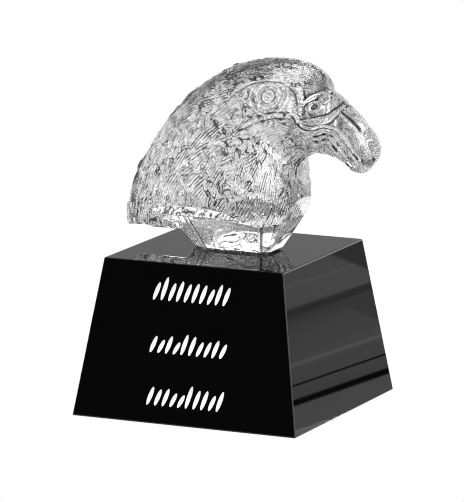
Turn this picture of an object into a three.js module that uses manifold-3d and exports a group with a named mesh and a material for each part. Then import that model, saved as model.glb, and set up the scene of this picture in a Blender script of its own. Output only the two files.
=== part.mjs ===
// An eagle's head and neck, pressed in clear crystal and ground flat in facets below, on a plinth of
// black crystal. Millimetres, +Z up, the beak towards +X, the origin at the centre of the plinth's underside.
import * as THREE from 'three';
import { ConvexGeometry } from 'three/addons/geometries/ConvexGeometry.js';
import { mergeVertices } from 'three/addons/utils/BufferGeometryUtils.js';
import Module from 'manifold-3d';

const wasm = await Module();
wasm.setup();

// The plinth is a square frustum with polished edges, and bears three rows of sandblasted strokes.
const PLINTH_FOOT = 100;
const PLINTH_TOP = 80;
const PLINTH_HEIGHT = 65;
const PLINTH_BEVEL = 0.8;

const STROKE_DEPTH = 0.4;
const STROKE_WIDTH = 1.9;
const STROKE_SLANT = 15;
const STROKES_IN_ROW = 10;
const ROW_LENGTH = 33;
const ROW_LETTER_HEIGHT = 9.6;
const ROW_PITCH = 21.4;
const TOP_ROW_DROP = 15.4;
const ROWS = 3;
const ROW_SHIFT = -1;
const STROKE_HEIGHTS = [1, 0.62, 0.7, 0.55];
const STROKE_SHOULDER = 0.18;

// The head stands on the plinth's top. All its carving is drawn for a crown this high above that top,
// and HEAD_HEIGHT scales the whole drawing.
const HEAD_HEIGHT = 79.7;
const DRAWN_HEIGHT = 79.7;

// The carving is drawn in x (towards the beak), y (to the side) and h (above the plinth's top). Sections
// stand on rays from one point in front of the breast, so that the rows of feathers sweep round it.
const FLOW_CENTRE = { x: 62, h: -47 };
const TIP_ANGLE = 88.3;
const TAIL_ANGLE = 158;
const BEAK_POLE = { x: 64.2, h: 45.2 };
const NAPE_LINE = [
  [-47.0, -3], [-46.6, 14], [-40.2, 33.5], [-27.6, 53], [-9.8, 69.9], [1.5, 76.1], [12, 79], [30, 78.8],
  [39.4, 74.5], [42.5, 69.4], [46.6, 66.7], [54.9, 60.2], [61.0, 53.9],
];
const THROAT_LINE = [
  [25.4, -23.5], [30.9, -5], [31.9, 14.2], [31.4, 22.5], [28.6, 32], [30.4, 38.6], [36.2, 42.2],
  [41.9, 43.7], [46.8, 42.8], [50.9, 40.4], [54.2, 36.9], [56.6, 35.4], [59.3, 36.4], [62.8, 40.4],
];
// Half width of the section, how much wider it is at the nape than at the throat, and how square it is.
const SECTIONS = [
  { angle: 158, width: 19.5, nape: 0.3, square: 1 },
  { angle: 146, width: 22.3, nape: 0.3, square: 1 },
  { angle: 132, width: 23.6, nape: 0.3, square: 1 },
  { angle: 120, width: 22.6, nape: 0.28, square: 0.95 },
  { angle: 112, width: 20.8, nape: 0.2, square: 0.85 },
  { angle: 106, width: 18.2, nape: 0.08, square: 0.8 },
  { angle: 102, width: 14.0, nape: 0, square: 0.8 },
  { angle: 99.5, width: 9.8, nape: -0.1, square: 0.85 },
  { angle: 97, width: 8.2, nape: -0.1, square: 0.9 },
  { angle: 94.5, width: 7.4, nape: 0.15, square: 0.95 },
  { angle: 92, width: 6.4, nape: 0.3, square: 1 },
  { angle: 90, width: 4.8, nape: 0.2, square: 1 },
  { angle: TIP_ANGLE, width: 0, nape: 0, square: 1 },
];
// The section's depth without the notch of the throat, which keeps the columns of feathers smooth there.
const SMOOTH_DEPTHS = [
  [158, 84], [150, 82], [140, 80], [130, 75], [120, 66], [114, 56], [109, 47], [104, 36], [99, 26.5],
  [95, 24], [91, 20], [89.5, 13], [TIP_ANGLE, 0],
];

// Feathers lie in staggered rows like tiles, their free tips towards the tail.
const COLUMNS = 56;
const FACE_STATIONS = 19;
const FEATHER_ROWS = 12;
const FIRST_ROW_ANGLE = 102.5;
const FEATHER_THICKNESS = 1.0;
const FEATHER_ROOT = 0.2;
const FEATHER_EDGE = 0.5;
const FEATHER_TIP_REACH = 1.5;
const TIP_STEP = 0.7;
const ROW_FRACTIONS = [0, 0.5, 1];

// What is carved on each side of the face, as points in x and h.
const EYE = { x: 23.9, h: 67.5, ball: 2.6, ring: 4.3, ringThickness: 0.55, socket: 7.3 };
const BROW = [[5.5, 66.1], [10.2, 70.4], [17, 73.4], [25, 74.3], [31, 73], [35, 69.6], [36.6, 65]];
const CERE_FLANGE = [[38.3, 57.9], [42.2, 57.9], [45.7, 58.6], [48.2, 61.2], [50.3, 64]];
const CERE_TOP = [[37.6, 65.2], [40.2, 67.2], [43.4, 68.6]];
const NOSTRIL = { x: 40.8, h: 63.2, radius: 1.6, depth: 1.2 };
const MOUTH = [[33.2, 60.2], [36.6, 55], [40.4, 53.8], [44.1, 54.6], [48.3, 53.4], [52, 49.2], [57.2, 42.4]];
const BARE_FACE = { fromX: 28, toX: 36, fromH: 36, toH: 48, roundSocket: 5 };
const SOCKET_SQUASH = 0.86;
const RIDGE_RADIUS = 0.85;
const BROW_RADIUS = 1.105;
const CERE_TOP_RADIUS = 0.68;
const GROOVE_RADIUS = 0.6;
const MANDIBLE = { recess: 1.1, fromX: 38, toX: 57, endFade: 4, lipFade: 1.5 };

// Planes that the neck is ground to: the way each faces, its distance from the foot's centre at the plinth's
// top, and how far it leans out for each millimetre up.
const BREAST_PLANE = { turn: 0, reach: 18.6, flare: 0.54 };
const BREAST_CORNER = { turn: 54, reach: 15.6, flare: 0.75 };
const SIDE_PLANE = { turn: 90, reach: 8.6, flare: 0.69 };
const REAR_CORNER = { turn: 125, reach: 12.5, flare: 0.72 };
const REAR_PLANE = { turn: 180, reach: 16, flare: 0.78 };
const FOOT_BEVEL = 0.9;
const LEDGE_HEIGHT = 15;
const LEDGE_FLARE = 1;
const UNCUT_HEIGHT = 24.5;
const TAIL_UNDERSIDE = { lowest: 5.8, rise: 0.24 };
const TAIL_FRONT = { turn: 0, reach: -12.8, flare: -0.81 };

const radians = THREE.MathUtils.degToRad;

// Manifold solids to and from three.js geometry
function solidOf(geometry) {
  const bare = geometry.index ? geometry.toNonIndexed() : geometry.clone();
  bare.deleteAttribute('normal');
  bare.deleteAttribute('uv');
  const merged = mergeVertices(bare, 1e-4);
  return new wasm.Manifold(new wasm.Mesh({
    numProp: 3,
    vertProperties: new Float32Array(merged.attributes.position.array),
    triVerts: new Uint32Array(merged.index.array),
  }));
}

function geometryOf(solid) {
  const mesh = solid.getMesh();
  const geometry = new THREE.BufferGeometry();
  geometry.setAttribute('position', new THREE.BufferAttribute(mesh.vertProperties, 3));
  geometry.setIndex(new THREE.BufferAttribute(mesh.triVerts, 1));
  geometry.computeVertexNormals();
  return geometry;
}

// A smooth curve through points that never swings past them (monotone cubic)
function monotoneCurve(points) {
  const sorted = [...points].sort((a, b) => a[0] - b[0]);
  const at = sorted.map((p) => p[0]);
  const value = sorted.map((p) => p[1]);
  const gap = at.slice(1).map((a, i) => a - at[i]);
  const rise = gap.map((g, i) => (value[i + 1] - value[i]) / g);
  const slope = at.map((_, i) => {
    if (i === 0) return rise[0];
    if (i === at.length - 1) return rise[i - 1];
    if (rise[i - 1] * rise[i] <= 0) return 0;
    const before = 2 * gap[i] + gap[i - 1];
    const after = gap[i] + 2 * gap[i - 1];
    return (before + after) / (before / rise[i - 1] + after / rise[i]);
  });
  return (t) => {
    const clamped = THREE.MathUtils.clamp(t, at[0], at[at.length - 1]);
    let i = 0;
    while (i < gap.length - 1 && clamped > at[i + 1]) i += 1;
    const f = (clamped - at[i]) / gap[i];
    const start = value[i] + f * f * (3 - 2 * f) * (value[i + 1] - value[i]);
    return start + gap[i] * f * (1 - f) * ((1 - f) * slope[i] - f * slope[i + 1]);
  };
}

// The smooth form of the head: along is 0 at the beak's pole and 1 below the tail, round is an angle
// from the nape (0) by the near side to the throat (pi) and back.
const alongOf = (angle) => Math.sqrt(Math.max(angle - TIP_ANGLE, 0) / (TAIL_ANGLE - TIP_ANGLE));
const angleAt = (along) => TIP_ANGLE + (TAIL_ANGLE - TIP_ANGLE) * along ** 2;

function outlineRadius(line) {
  const radii = line.map(([x, h]) => {
    const angle = THREE.MathUtils.radToDeg(Math.atan2(h - FLOW_CENTRE.h, x - FLOW_CENTRE.x));
    return [alongOf(angle), Math.hypot(x - FLOW_CENTRE.x, h - FLOW_CENTRE.h)];
  });
  const pole = Math.hypot(BEAK_POLE.x - FLOW_CENTRE.x, BEAK_POLE.h - FLOW_CENTRE.h);
  return monotoneCurve([[0, pole], ...radii]);
}

const napeRadius = outlineRadius(NAPE_LINE);
const throatRadius = outlineRadius(THROAT_LINE);
const sectionCurve = (key) => monotoneCurve(SECTIONS.map((s) => [alongOf(s.angle), s[key]]));
const halfWidth = sectionCurve('width');
const napeShare = sectionCurve('nape');
const squareness = sectionCurve('square');
const smoothDepth = monotoneCurve(SMOOTH_DEPTHS.map(([angle, depth]) => [alongOf(angle), depth]));

// depth is 0 at the nape and 1 at the throat
function sideWidth(along, depth) {
  const lean = 1 - 2 * depth;
  const bulge = Math.sqrt(Math.max(1 - lean ** 2, 0));
  return halfWidth(along) * bulge ** squareness(along) * (1 + napeShare(along) * lean);
}

function formPoint(along, round) {
  const full = Math.max(napeRadius(along) - throatRadius(along), 1e-6);
  const stretch = THREE.MathUtils.clamp(smoothDepth(along) / full, 0.7, 1.4);
  const even = (1 - Math.cos(round)) / 2;
  const depth = even * (stretch + (1 - stretch) * even ** 2);
  const radius = napeRadius(along) - full * depth;
  const angle = radians(angleAt(along));
  return new THREE.Vector3(
    FLOW_CENTRE.x + radius * Math.cos(angle),
    -Math.sign(Math.sin(round)) * sideWidth(along, depth),
    FLOW_CENTRE.h + radius * Math.sin(angle),
  );
}

function formNormal(along, round) {
  const step = 0.004;
  const back = formPoint(Math.max(along - step, 0.002), round);
  const ahead = formPoint(Math.min(along + step, 1), round);
  const left = formPoint(along, round - step * 5);
  const right = formPoint(along, round + step * 5);
  return right.sub(left).cross(ahead.sub(back)).normalize();
}

// The point of the smooth form at x and h on one side (-1 is the near side, +1 the far side)
function sidePoint(x, h, side) {
  const angle = THREE.MathUtils.radToDeg(Math.atan2(h - FLOW_CENTRE.h, x - FLOW_CENTRE.x));
  const along = alongOf(angle);
  const full = napeRadius(along) - throatRadius(along);
  const depth = (napeRadius(along) - Math.hypot(x - FLOW_CENTRE.x, h - FLOW_CENTRE.h)) / full;
  return new THREE.Vector3(x, side * sideWidth(along, THREE.MathUtils.clamp(depth, 0, 1)), h);
}

function sideNormal(x, h, side) {
  const step = 0.2;
  const acrossX = sidePoint(x + step, h, side).sub(sidePoint(x - step, h, side));
  const acrossH = sidePoint(x, h + step, side).sub(sidePoint(x, h - step, side));
  return acrossX.cross(acrossH).normalize().multiplyScalar(-side);
}

// Distances along the flow, a mean of the nape's and the throat's, so that stations are evenly spaced
const FLOW_SAMPLES = 2000;
const flowLengths = [0];
for (let i = 1; i <= FLOW_SAMPLES; i += 1) {
  const before = (i - 1) / FLOW_SAMPLES;
  const here = i / FLOW_SAMPLES;
  const nape = formPoint(here, 0).distanceTo(formPoint(before, 0));
  const throat = formPoint(here, Math.PI).distanceTo(formPoint(before, Math.PI));
  flowLengths.push(flowLengths[i - 1] + (nape + 0.5 * throat) / 1.5);
}

function alongAtLength(length) {
  let i = 1;
  while (i < FLOW_SAMPLES && flowLengths[i] < length) i += 1;
  const share = (length - flowLengths[i - 1]) / (flowLengths[i] - flowLengths[i - 1]);
  return THREE.MathUtils.clamp((i - 1 + share) / FLOW_SAMPLES, 0, 1);
}

const lengthAtAngle = (angle) => flowLengths[Math.round(alongOf(angle) * FLOW_SAMPLES)];

// The face is bare of feathers: the eye and its socket, and all in front of the brow
function featherShare(point) {
  const toEye = Math.hypot(point.x - EYE.x, point.z - EYE.h);
  const { fromX, toX, fromH, toH, roundSocket } = BARE_FACE;
  const fromSocket = THREE.MathUtils.smoothstep(toEye, EYE.socket, EYE.socket + roundSocket);
  const front = THREE.MathUtils.smoothstep(point.x, fromX, toX) * THREE.MathUtils.smoothstep(point.z, fromH, toH);
  return fromSocket * (1 - front);
}

// The lower mandible lies back behind the upper one's cutting edge
const mouthCurve = monotoneCurve(MOUTH.slice(2).map(([x, h]) => [x, h]));
function mandibleDepth(point) {
  const { recess, fromX, toX, endFade, lipFade } = MANDIBLE;
  const begun = THREE.MathUtils.smoothstep(point.x, fromX, fromX + endFade);
  const ended = THREE.MathUtils.smoothstep(point.x, toX - endFade, toX);
  return recess * begun * (1 - ended) * THREE.MathUtils.smoothstep(mouthCurve(point.x) - point.z, 0, lipFade);
}

// A closed loft: one vertex at the beak's pole, rings of COLUMNS points, one vertex below the tail
function headForm() {
  const rings = [];
  const firstBoundary = lengthAtAngle(FIRST_ROW_ANGLE);
  const rowLength = (flowLengths[FLOW_SAMPLES] - firstBoundary) / FEATHER_ROWS;
  const isCentre = (row, column) => (row + column + COLUMNS) % 2 === 0;
  const boundary = (row, column) => {
    if (row >= FEATHER_ROWS) return flowLengths[FLOW_SAMPLES];
    return firstBoundary + row * rowLength + FEATHER_TIP_REACH * (isCentre(row - 1, column) ? 1 : -1);
  };
  const placed = (length, column, height) => {
    const along = alongAtLength(length);
    const round = (2 * Math.PI * column) / COLUMNS;
    const point = formPoint(along, round);
    const rise = height * featherShare(point) - mandibleDepth(point);
    return point.addScaledVector(formNormal(along, round), rise);
  };
  for (let station = 1; station <= FACE_STATIONS; station += 1) {
    const share = station / (FACE_STATIONS + 1);
    rings.push(Array.from({ length: COLUMNS }, (_, column) => placed(share * boundary(0, column), column, 0)));
  }
  for (let row = 0; row < FEATHER_ROWS; row += 1) {
    for (const fraction of ROW_FRACTIONS) {
      const ring = [];
      for (let column = 0; column < COLUMNS; column += 1) {
        const start = boundary(row, column);
        const end = boundary(row + 1, column) - TIP_STEP;
        const edge = isCentre(row, column) ? 1 : FEATHER_EDGE;
        const lifted = FEATHER_ROOT + (1 - FEATHER_ROOT) * fraction;
        const arch = Math.sin(Math.PI * (0.35 + 0.4 * fraction));
        ring.push(placed(start + fraction * (end - start), column, FEATHER_THICKNESS * edge * lifted * arch));
      }
      rings.push(ring);
    }
  }
  return closedLoft(formPoint(0, 0), rings);
}

function closedLoft(pole, rings) {
  const last = rings[rings.length - 1];
  const end = new THREE.Vector3();
  for (const point of last) end.addScaledVector(point, 1 / last.length);
  const vertices = [pole, ...rings.flat(), end];
  const faces = [];
  const at = (ring, column) => 1 + ring * COLUMNS + (column % COLUMNS);
  for (let column = 0; column < COLUMNS; column += 1) {
    faces.push(0, at(0, column), at(0, column + 1));
    faces.push(vertices.length - 1, at(rings.length - 1, column + 1), at(rings.length - 1, column));
    for (let ring = 0; ring < rings.length - 1; ring += 1) {
      const a = at(ring, column);
      const b = at(ring, column + 1);
      const c = at(ring + 1, column + 1);
      const d = at(ring + 1, column);
      if ((ring + column) % 2 === 0) faces.push(a, c, b, a, d, c);
      else faces.push(a, d, b, b, d, c);
    }
  }
  const geometry = new THREE.BufferGeometry();
  geometry.setAttribute('position', new THREE.Float32BufferAttribute(vertices.flatMap((v) => v.toArray()), 3));
  geometry.setIndex(faces);
  return geometry;
}

// A round bead laid along points of the face, its middle sunk below the surface by sink
function beadOnFace(points, side, radius, sink, steps) {
  const laid = points.map(([x, h]) => sidePoint(x, h, side).addScaledVector(sideNormal(x, h, side), -sink));
  const section = new THREE.Shape();
  section.absarc(0, 0, radius, 0, 2 * Math.PI, false);
  const path = new THREE.CatmullRomCurve3(laid, false, 'centripetal');
  return new THREE.ExtrudeGeometry(section, { extrudePath: path, steps, curveSegments: 2 });
}

function turnedToFace(geometry, x, h, side, sink) {
  const outward = sideNormal(x, h, side);
  const turn = new THREE.Quaternion().setFromUnitVectors(new THREE.Vector3(0, 0, 1), outward);
  const centre = sidePoint(x, h, side).addScaledVector(outward, -sink);
  return geometry.applyQuaternion(turn).translate(centre.x, centre.y, centre.z);
}

function socketArc() {
  const points = [];
  for (let angle = 130; angle <= 330; angle += 25) {
    const x = EYE.x + EYE.socket * Math.cos(radians(angle));
    points.push([x, EYE.h + EYE.socket * SOCKET_SQUASH * Math.sin(radians(angle))]);
  }
  return points;
}

function carvedFace(head) {
  let carved = head;
  for (const side of [-1, 1]) {
    const ball = new THREE.SphereGeometry(EYE.ball, 10, 6);
    const ring = new THREE.TorusGeometry(EYE.ring, EYE.ringThickness, 5, 16);
    const raised = [
      turnedToFace(ball, EYE.x, EYE.h, side, EYE.ball * 0.6),
      turnedToFace(ring, EYE.x, EYE.h, side, 0),
      beadOnFace(socketArc(), side, RIDGE_RADIUS, 0.3, 9),
      beadOnFace(BROW, side, BROW_RADIUS, 0.4, 12),
      beadOnFace(CERE_FLANGE, side, RIDGE_RADIUS, 0.25, 6),
      beadOnFace(CERE_TOP, side, CERE_TOP_RADIUS, 0.25, 3),
    ];
    for (const geometry of raised) carved = carved.add(solidOf(geometry));
    const nostril = new THREE.CylinderGeometry(NOSTRIL.radius, NOSTRIL.radius * 0.7, 2 * NOSTRIL.depth, 10);
    nostril.rotateX(Math.PI / 2);
    carved = carved.subtract(solidOf(turnedToFace(nostril, NOSTRIL.x, NOSTRIL.h, side, 0)));
    carved = carved.subtract(solidOf(beadOnFace(MOUTH, side, GROOVE_RADIUS, 0.1, 10)));
  }
  return carved;
}

// What lies beyond a ground plane, as one large block to cut away
const FAR = 300;
function beyond({ turn, reach, flare }) {
  const block = new THREE.BoxGeometry(FAR, 2 * FAR, 2 * FAR);
  block.translate(FAR / 2, 0, 0);
  block.rotateY(Math.atan(flare));
  block.translate(reach, 0, 0);
  block.rotateZ(radians(turn));
  return solidOf(block);
}

function slab(bottom, top) {
  const block = new THREE.BoxGeometry(FAR, FAR, top - bottom);
  return solidOf(block.translate(0, 0, (top + bottom) / 2));
}

const bothSides = (plane) => [plane, { ...plane, turn: -plane.turn }];

// The room that grinding leaves: the foot within its planes, the wider ledge above them, the
// overhanging tail, and all that was never ground
function groundRoom() {
  const footPlanes = [
    BREAST_PLANE, REAR_PLANE, ...bothSides(BREAST_CORNER), ...bothSides(SIDE_PLANE), ...bothSides(REAR_CORNER),
  ];
  let foot = slab(0, UNCUT_HEIGHT);
  for (const plane of footPlanes) {
    foot = foot.subtract(beyond(plane));
    foot = foot.subtract(beyond({ ...plane, reach: plane.reach - FOOT_BEVEL, flare: plane.flare + 1 }));
  }
  const ledgeReach = SIDE_PLANE.reach + (SIDE_PLANE.flare - LEDGE_FLARE) * LEDGE_HEIGHT;
  const ledgePlanes = [
    BREAST_PLANE, ...bothSides(BREAST_CORNER), ...bothSides({ turn: 90, reach: ledgeReach, flare: LEDGE_FLARE }),
  ];
  let ledge = slab(LEDGE_HEIGHT, UNCUT_HEIGHT + 1);
  for (const plane of ledgePlanes) ledge = ledge.subtract(beyond(plane));
  const { lowest, rise } = TAIL_UNDERSIDE;
  let tail = slab(lowest, UNCUT_HEIGHT + 1).subtract(beyond(TAIL_FRONT));
  for (const plane of bothSides({ turn: 90, reach: -lowest / rise, flare: 1 / rise })) {
    tail = tail.subtract(beyond(plane));
  }
  return foot.add(ledge).add(tail).add(slab(UNCUT_HEIGHT, FAR));
}

function eagleHead() {
  const carved = carvedFace(solidOf(headForm())).intersect(groundRoom());
  const scale = HEAD_HEIGHT / DRAWN_HEIGHT;
  const crystal = new THREE.MeshStandardMaterial({
    color: 0xf2f5f6, roughness: 0.02, metalness: 0, transparent: true, opacity: 0.35,
  });
  const mesh = new THREE.Mesh(geometryOf(carved.scale([scale, scale, scale])), crystal);
  mesh.name = 'eagle_head';
  mesh.position.z = PLINTH_HEIGHT;
  return mesh;
}

// The plinth's half side at a height
const plinthHalf = (z) => THREE.MathUtils.lerp(PLINTH_FOOT, PLINTH_TOP, z / PLINTH_HEIGHT) / 2;

function bevelledFrustum() {
  const points = [];
  for (const z of [0, PLINTH_HEIGHT]) {
    const inner = z === 0 ? PLINTH_BEVEL : PLINTH_HEIGHT - PLINTH_BEVEL;
    for (const sx of [-1, 1]) {
      for (const sy of [-1, 1]) {
        const flat = plinthHalf(z) - PLINTH_BEVEL;
        const wall = plinthHalf(inner);
        points.push(new THREE.Vector3(sx * flat, sy * flat, z));
        points.push(new THREE.Vector3(sx * wall, sy * (wall - PLINTH_BEVEL), inner));
        points.push(new THREE.Vector3(sx * (wall - PLINTH_BEVEL), sy * wall, inner));
      }
    }
  }
  return new ConvexGeometry(points);
}

// One slanted stroke, pointed at both ends, standing on the row's line at x
function strokeShape(x, height) {
  const lean = Math.tan(radians(STROKE_SLANT));
  const half = STROKE_WIDTH / 2;
  const low = STROKE_SHOULDER * height;
  const outline = [
    [0, 0], [half, low], [half, height - low], [0, height], [-half, height - low], [-half, low],
  ];
  return new THREE.Shape(outline.map(([dx, v]) => new THREE.Vector2(x + dx + lean * v, v)));
}

function strokeRows() {
  const pitch = (ROW_LENGTH - STROKE_WIDTH) / (STROKES_IN_ROW - 1);
  const slope = Math.atan2((PLINTH_FOOT - PLINTH_TOP) / 2, PLINTH_HEIGHT);
  const faceLength = PLINTH_HEIGHT / Math.cos(slope);
  const strokes = [];
  for (let row = 0; row < ROWS; row += 1) {
    const line = faceLength - TOP_ROW_DROP - row * ROW_PITCH;
    for (let i = 0; i < STROKES_IN_ROW; i += 1) {
      const share = STROKE_HEIGHTS[(i + row) % STROKE_HEIGHTS.length];
      const x = ROW_SHIFT - ROW_LENGTH / 2 + STROKE_WIDTH / 2 + i * pitch;
      const shape = strokeShape(x, ROW_LETTER_HEIGHT * share);
      const cutter = new THREE.ExtrudeGeometry(shape, { depth: STROKE_DEPTH + 1, bevelEnabled: false });
      cutter.translate(0, line, -STROKE_DEPTH);
      cutter.rotateX(Math.PI / 2 - slope);
      cutter.translate(0, -PLINTH_FOOT / 2, 0);
      strokes.push(solidOf(cutter));
    }
  }
  return strokes;
}

function plinth() {
  let block = solidOf(bevelledFrustum());
  for (const stroke of strokeRows()) block = block.subtract(stroke);
  const blackCrystal = new THREE.MeshStandardMaterial({ color: 0x050506, roughness: 0.03, metalness: 0 });
  const mesh = new THREE.Mesh(geometryOf(block), blackCrystal);
  mesh.name = 'plinth';
  return mesh;
}

const sculpture = new THREE.Group();
sculpture.add(plinth(), eagleHead());
export default sculpture;
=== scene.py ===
# %% [markdown]
# # A crystal eagle's head on a black crystal plinth
#
# The object is a desk award: an eagle's head and neck pressed in clear crystal, ground flat below, and
# glued to a tapered plinth of black crystal. Glass has no colour of its own to paint. What we see in it
# is its surroundings, bent by its surface, so this lesson is about two things: a surface with the right
# carving, and a studio that gives the glass something to bend.

# %% Load the frame
import bmesh
import bpy
import math
import numpy as np
from mathutils import Matrix, Vector, kdtree


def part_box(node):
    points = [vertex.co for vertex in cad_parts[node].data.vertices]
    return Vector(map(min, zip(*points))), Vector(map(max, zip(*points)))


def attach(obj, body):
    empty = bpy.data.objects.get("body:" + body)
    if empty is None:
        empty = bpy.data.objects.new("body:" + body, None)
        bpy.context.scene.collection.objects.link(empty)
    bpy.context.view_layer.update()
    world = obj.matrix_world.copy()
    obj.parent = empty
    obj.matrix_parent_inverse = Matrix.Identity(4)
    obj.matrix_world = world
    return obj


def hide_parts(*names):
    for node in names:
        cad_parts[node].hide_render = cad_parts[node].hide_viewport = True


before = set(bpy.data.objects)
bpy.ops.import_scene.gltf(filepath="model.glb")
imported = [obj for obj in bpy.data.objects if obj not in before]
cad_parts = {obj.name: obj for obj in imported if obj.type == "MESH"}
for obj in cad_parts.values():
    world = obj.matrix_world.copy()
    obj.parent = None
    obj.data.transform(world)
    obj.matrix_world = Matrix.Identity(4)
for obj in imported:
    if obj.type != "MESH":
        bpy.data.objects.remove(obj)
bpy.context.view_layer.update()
MM = 0.001

# %% [markdown]
# ## The camera
#
# The photograph was taken with a long lens from the front right. A camera far away with a narrow view
# keeps the plinth's edges as nearly parallel as they are in the picture. Its turn, its height and its
# focal length in pixels were fitted to the plinth's corners, and two small offsets centre the picture.

# %% Camera
AZIMUTH = math.radians(24.87)
ELEVATION = math.radians(11.17)
CAMERA_DISTANCE = 2200 * MM
LOOK_AT = Vector((0, 0, 60 * MM))
SENSOR_WIDTH = 36.0
PHOTO_HEIGHT = 502
FOCAL_PIXELS = 5356.8
SIDE_OFFSET = 1.017 * MM
UP_OFFSET = -3.569 * MM
VIEW_END = 50


def photo_camera():
    back = Vector((
        math.sin(AZIMUTH) * math.cos(ELEVATION),
        -math.cos(AZIMUTH) * math.cos(ELEVATION),
        math.sin(ELEVATION),
    ))
    right = Vector((math.cos(AZIMUTH), math.sin(AZIMUTH), 0))
    up = back.cross(right)
    data = bpy.data.cameras.new("photo_camera")
    data.sensor_width = SENSOR_WIDTH
    data.lens = FOCAL_PIXELS * SENSOR_WIDTH / PHOTO_HEIGHT
    data.clip_end = VIEW_END
    camera = bpy.data.objects.new("photo_camera", data)
    place = LOOK_AT - right * SIDE_OFFSET - up * UP_OFFSET + back * CAMERA_DISTANCE
    camera.matrix_world = Matrix((
        (right.x, up.x, back.x, place.x),
        (right.y, up.y, back.y, place.y),
        (right.z, up.z, back.z, place.z),
        (0, 0, 0, 1),
    ))
    bpy.context.collection.objects.link(camera)
    bpy.context.scene.camera = camera
    print("camera at", [round(v, 3) for v in place], "lens", round(data.lens, 1), "mm")


photo_camera()

# %% [markdown]
# ## The studio
#
# Cut glass gets its sparkle from small bright and dark things round it. A photographer hangs lamps and
# strips of paper there. Lamps would work here too, but small lamps seen through glass give grainy light,
# so the floor and the room shine by themselves, and carry the strips as a pattern of levels.
#
# ### Bars
#
# Narrow dark and bright bars repeat over the floor and the room. The carving bends them into the fine
# worm-like lines that we know from pressed glass. A bar is one turn of a repeating ramp.

# %% Bars
BAR_STOPS = [
    (0, 0.12), (0.1, 0.12), (0.16, 1.0), (0.45, 1.1), (0.55, 1.45), (0.64, 1.45), (0.72, 1.0),
    (0.94, 1.0), (1, 0.12),
]


def plug(tree, socket, source):
    """A socket takes a link from another socket, or a plain number."""
    if isinstance(source, (int, float)):
        socket.default_value = source
    else:
        tree.links.new(source, socket)


def number(tree, operation, first, second=0.0):
    """A math node on two sources, each a socket or a plain number."""
    node = tree.nodes.new("ShaderNodeMath")
    node.operation = operation
    for socket, source in zip(node.inputs, (first, second)):
        plug(tree, socket, source)
    return node.outputs[0]


def ramp(tree, source, stops):
    """A grey level for each value of the source, straight between the stops."""
    node = tree.nodes.new("ShaderNodeValToRGB")
    elements = node.color_ramp.elements
    while len(elements) < len(stops):
        elements.new(0.5)
    for element, (position, value) in zip(elements, stops):
        element.position = position
        element.color = (value, value, value, 1)
    tree.links.new(source, node.inputs[0])
    return node.outputs["Color"]


def bars(tree, source, pitch):
    """Narrow dark and bright bars that repeat at a pitch."""
    share = number(tree, "FRACT", number(tree, "DIVIDE", source, pitch))
    return ramp(tree, share, BAR_STOPS)


bar_levels = [level for _, level in BAR_STOPS]
print("bars between level", min(bar_levels), "and level", max(bar_levels))

# %% [markdown]
# ### Cards beside the plinth
#
# The plinth's right face is a black mirror, and the picture shows bands of grey in it. They are cards
# that lie on the floor to the right. Each card is a range of distances from the plinth with its level.
# Planes of paper would do as well, but here a ramp holds all of them, and their borders can be moved.

# %% Cards
CARD_TURN = math.radians(30.8)
CARD_STOPS = [
    (40, 0.46), (130, 0.45), (132, 0.01), (155, 0.01), (157, 0.33), (207, 0.36),
    (209, 0.02), (216, 0.02), (218, 0.37), (288, 0.39), (290, 0.56), (305, 0.56), (307, 0.41),
    (470, 0.34), (540, 0.24), (542, 0.17), (584, 0.18), (586, 0.46), (716, 0.46), (719, 0.6),
    (726, 0.6), (729, 0.46), (950, 0.42), (1100, 0.3),
]
FAR_OFF = 9
CARD_CORNERS = [(0.6, FAR_OFF, -0.0527, 0.2), (0.381, 0.541, -0.0175, 0.27)]
CORNER_ENDS_SOFT, CORNER_SIDE_SOFT = 0.004, 0.002
ASIDE_X, ASIDE_Y = 0.858, 0.513


def between(tree, source, low, high, soft):
    """One inside a range of the source and nought outside it, with soft borders."""
    rise = tree.nodes.new("ShaderNodeMapRange")
    fall = tree.nodes.new("ShaderNodeMapRange")
    for node, edge, ends in ((rise, low, (0, 1)), (fall, high, (1, 0))):
        tree.links.new(source, node.inputs["Value"])
        node.inputs["From Min"].default_value = edge - soft / 2
        node.inputs["From Max"].default_value = edge + soft / 2
        node.inputs["To Min"].default_value = ends[0]
        node.inputs["To Max"].default_value = ends[1]
    return number(tree, "MULTIPLY", rise.outputs[0], fall.outputs[0])


def blend(tree, mask, under, over):
    """One level under a mask and another over it."""
    mix = tree.nodes.new("ShaderNodeMix")
    mix.data_type = "FLOAT"
    for name, source in (("Factor", mask), ("A", under), ("B", over)):
        plug(tree, mix.inputs[name], source)
    return mix.outputs["Result"]


def card_distance(tree, x, y):
    """Distance along the row of cards, which runs off to the right."""
    return number(
        tree, "ADD",
        number(tree, "MULTIPLY", x, math.cos(CARD_TURN)),
        number(tree, "MULTIPLY", y, math.sin(CARD_TURN)),
    )


def cards(tree, x, y, across):
    """The level of the cards, two of which have a corner of another level."""
    first, last = CARD_STOPS[0][0], CARD_STOPS[-1][0]
    share = tree.nodes.new("ShaderNodeMapRange")
    share.inputs["From Min"].default_value = first * MM
    share.inputs["From Max"].default_value = last * MM
    tree.links.new(across, share.inputs["Value"])
    stops = [((at - first) / (last - first), level) for at, level in CARD_STOPS]
    grey = ramp(tree, share.outputs[0], stops)
    aside = number(
        tree, "SUBTRACT",
        number(tree, "MULTIPLY", x, ASIDE_X), number(tree, "MULTIPLY", y, ASIDE_Y),
    )
    for low, high, limit, level in CARD_CORNERS:
        in_range = between(tree, across, low, high, CORNER_ENDS_SOFT)
        in_reach = between(tree, aside, -FAR_OFF, limit, CORNER_SIDE_SOFT)
        grey = blend(tree, number(tree, "MULTIPLY", in_range, in_reach), grey, level)
    return grey


print("cards from", CARD_STOPS[0][0], "to", CARD_STOPS[-1][0], "mm,", len(CARD_CORNERS), "corners")

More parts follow.
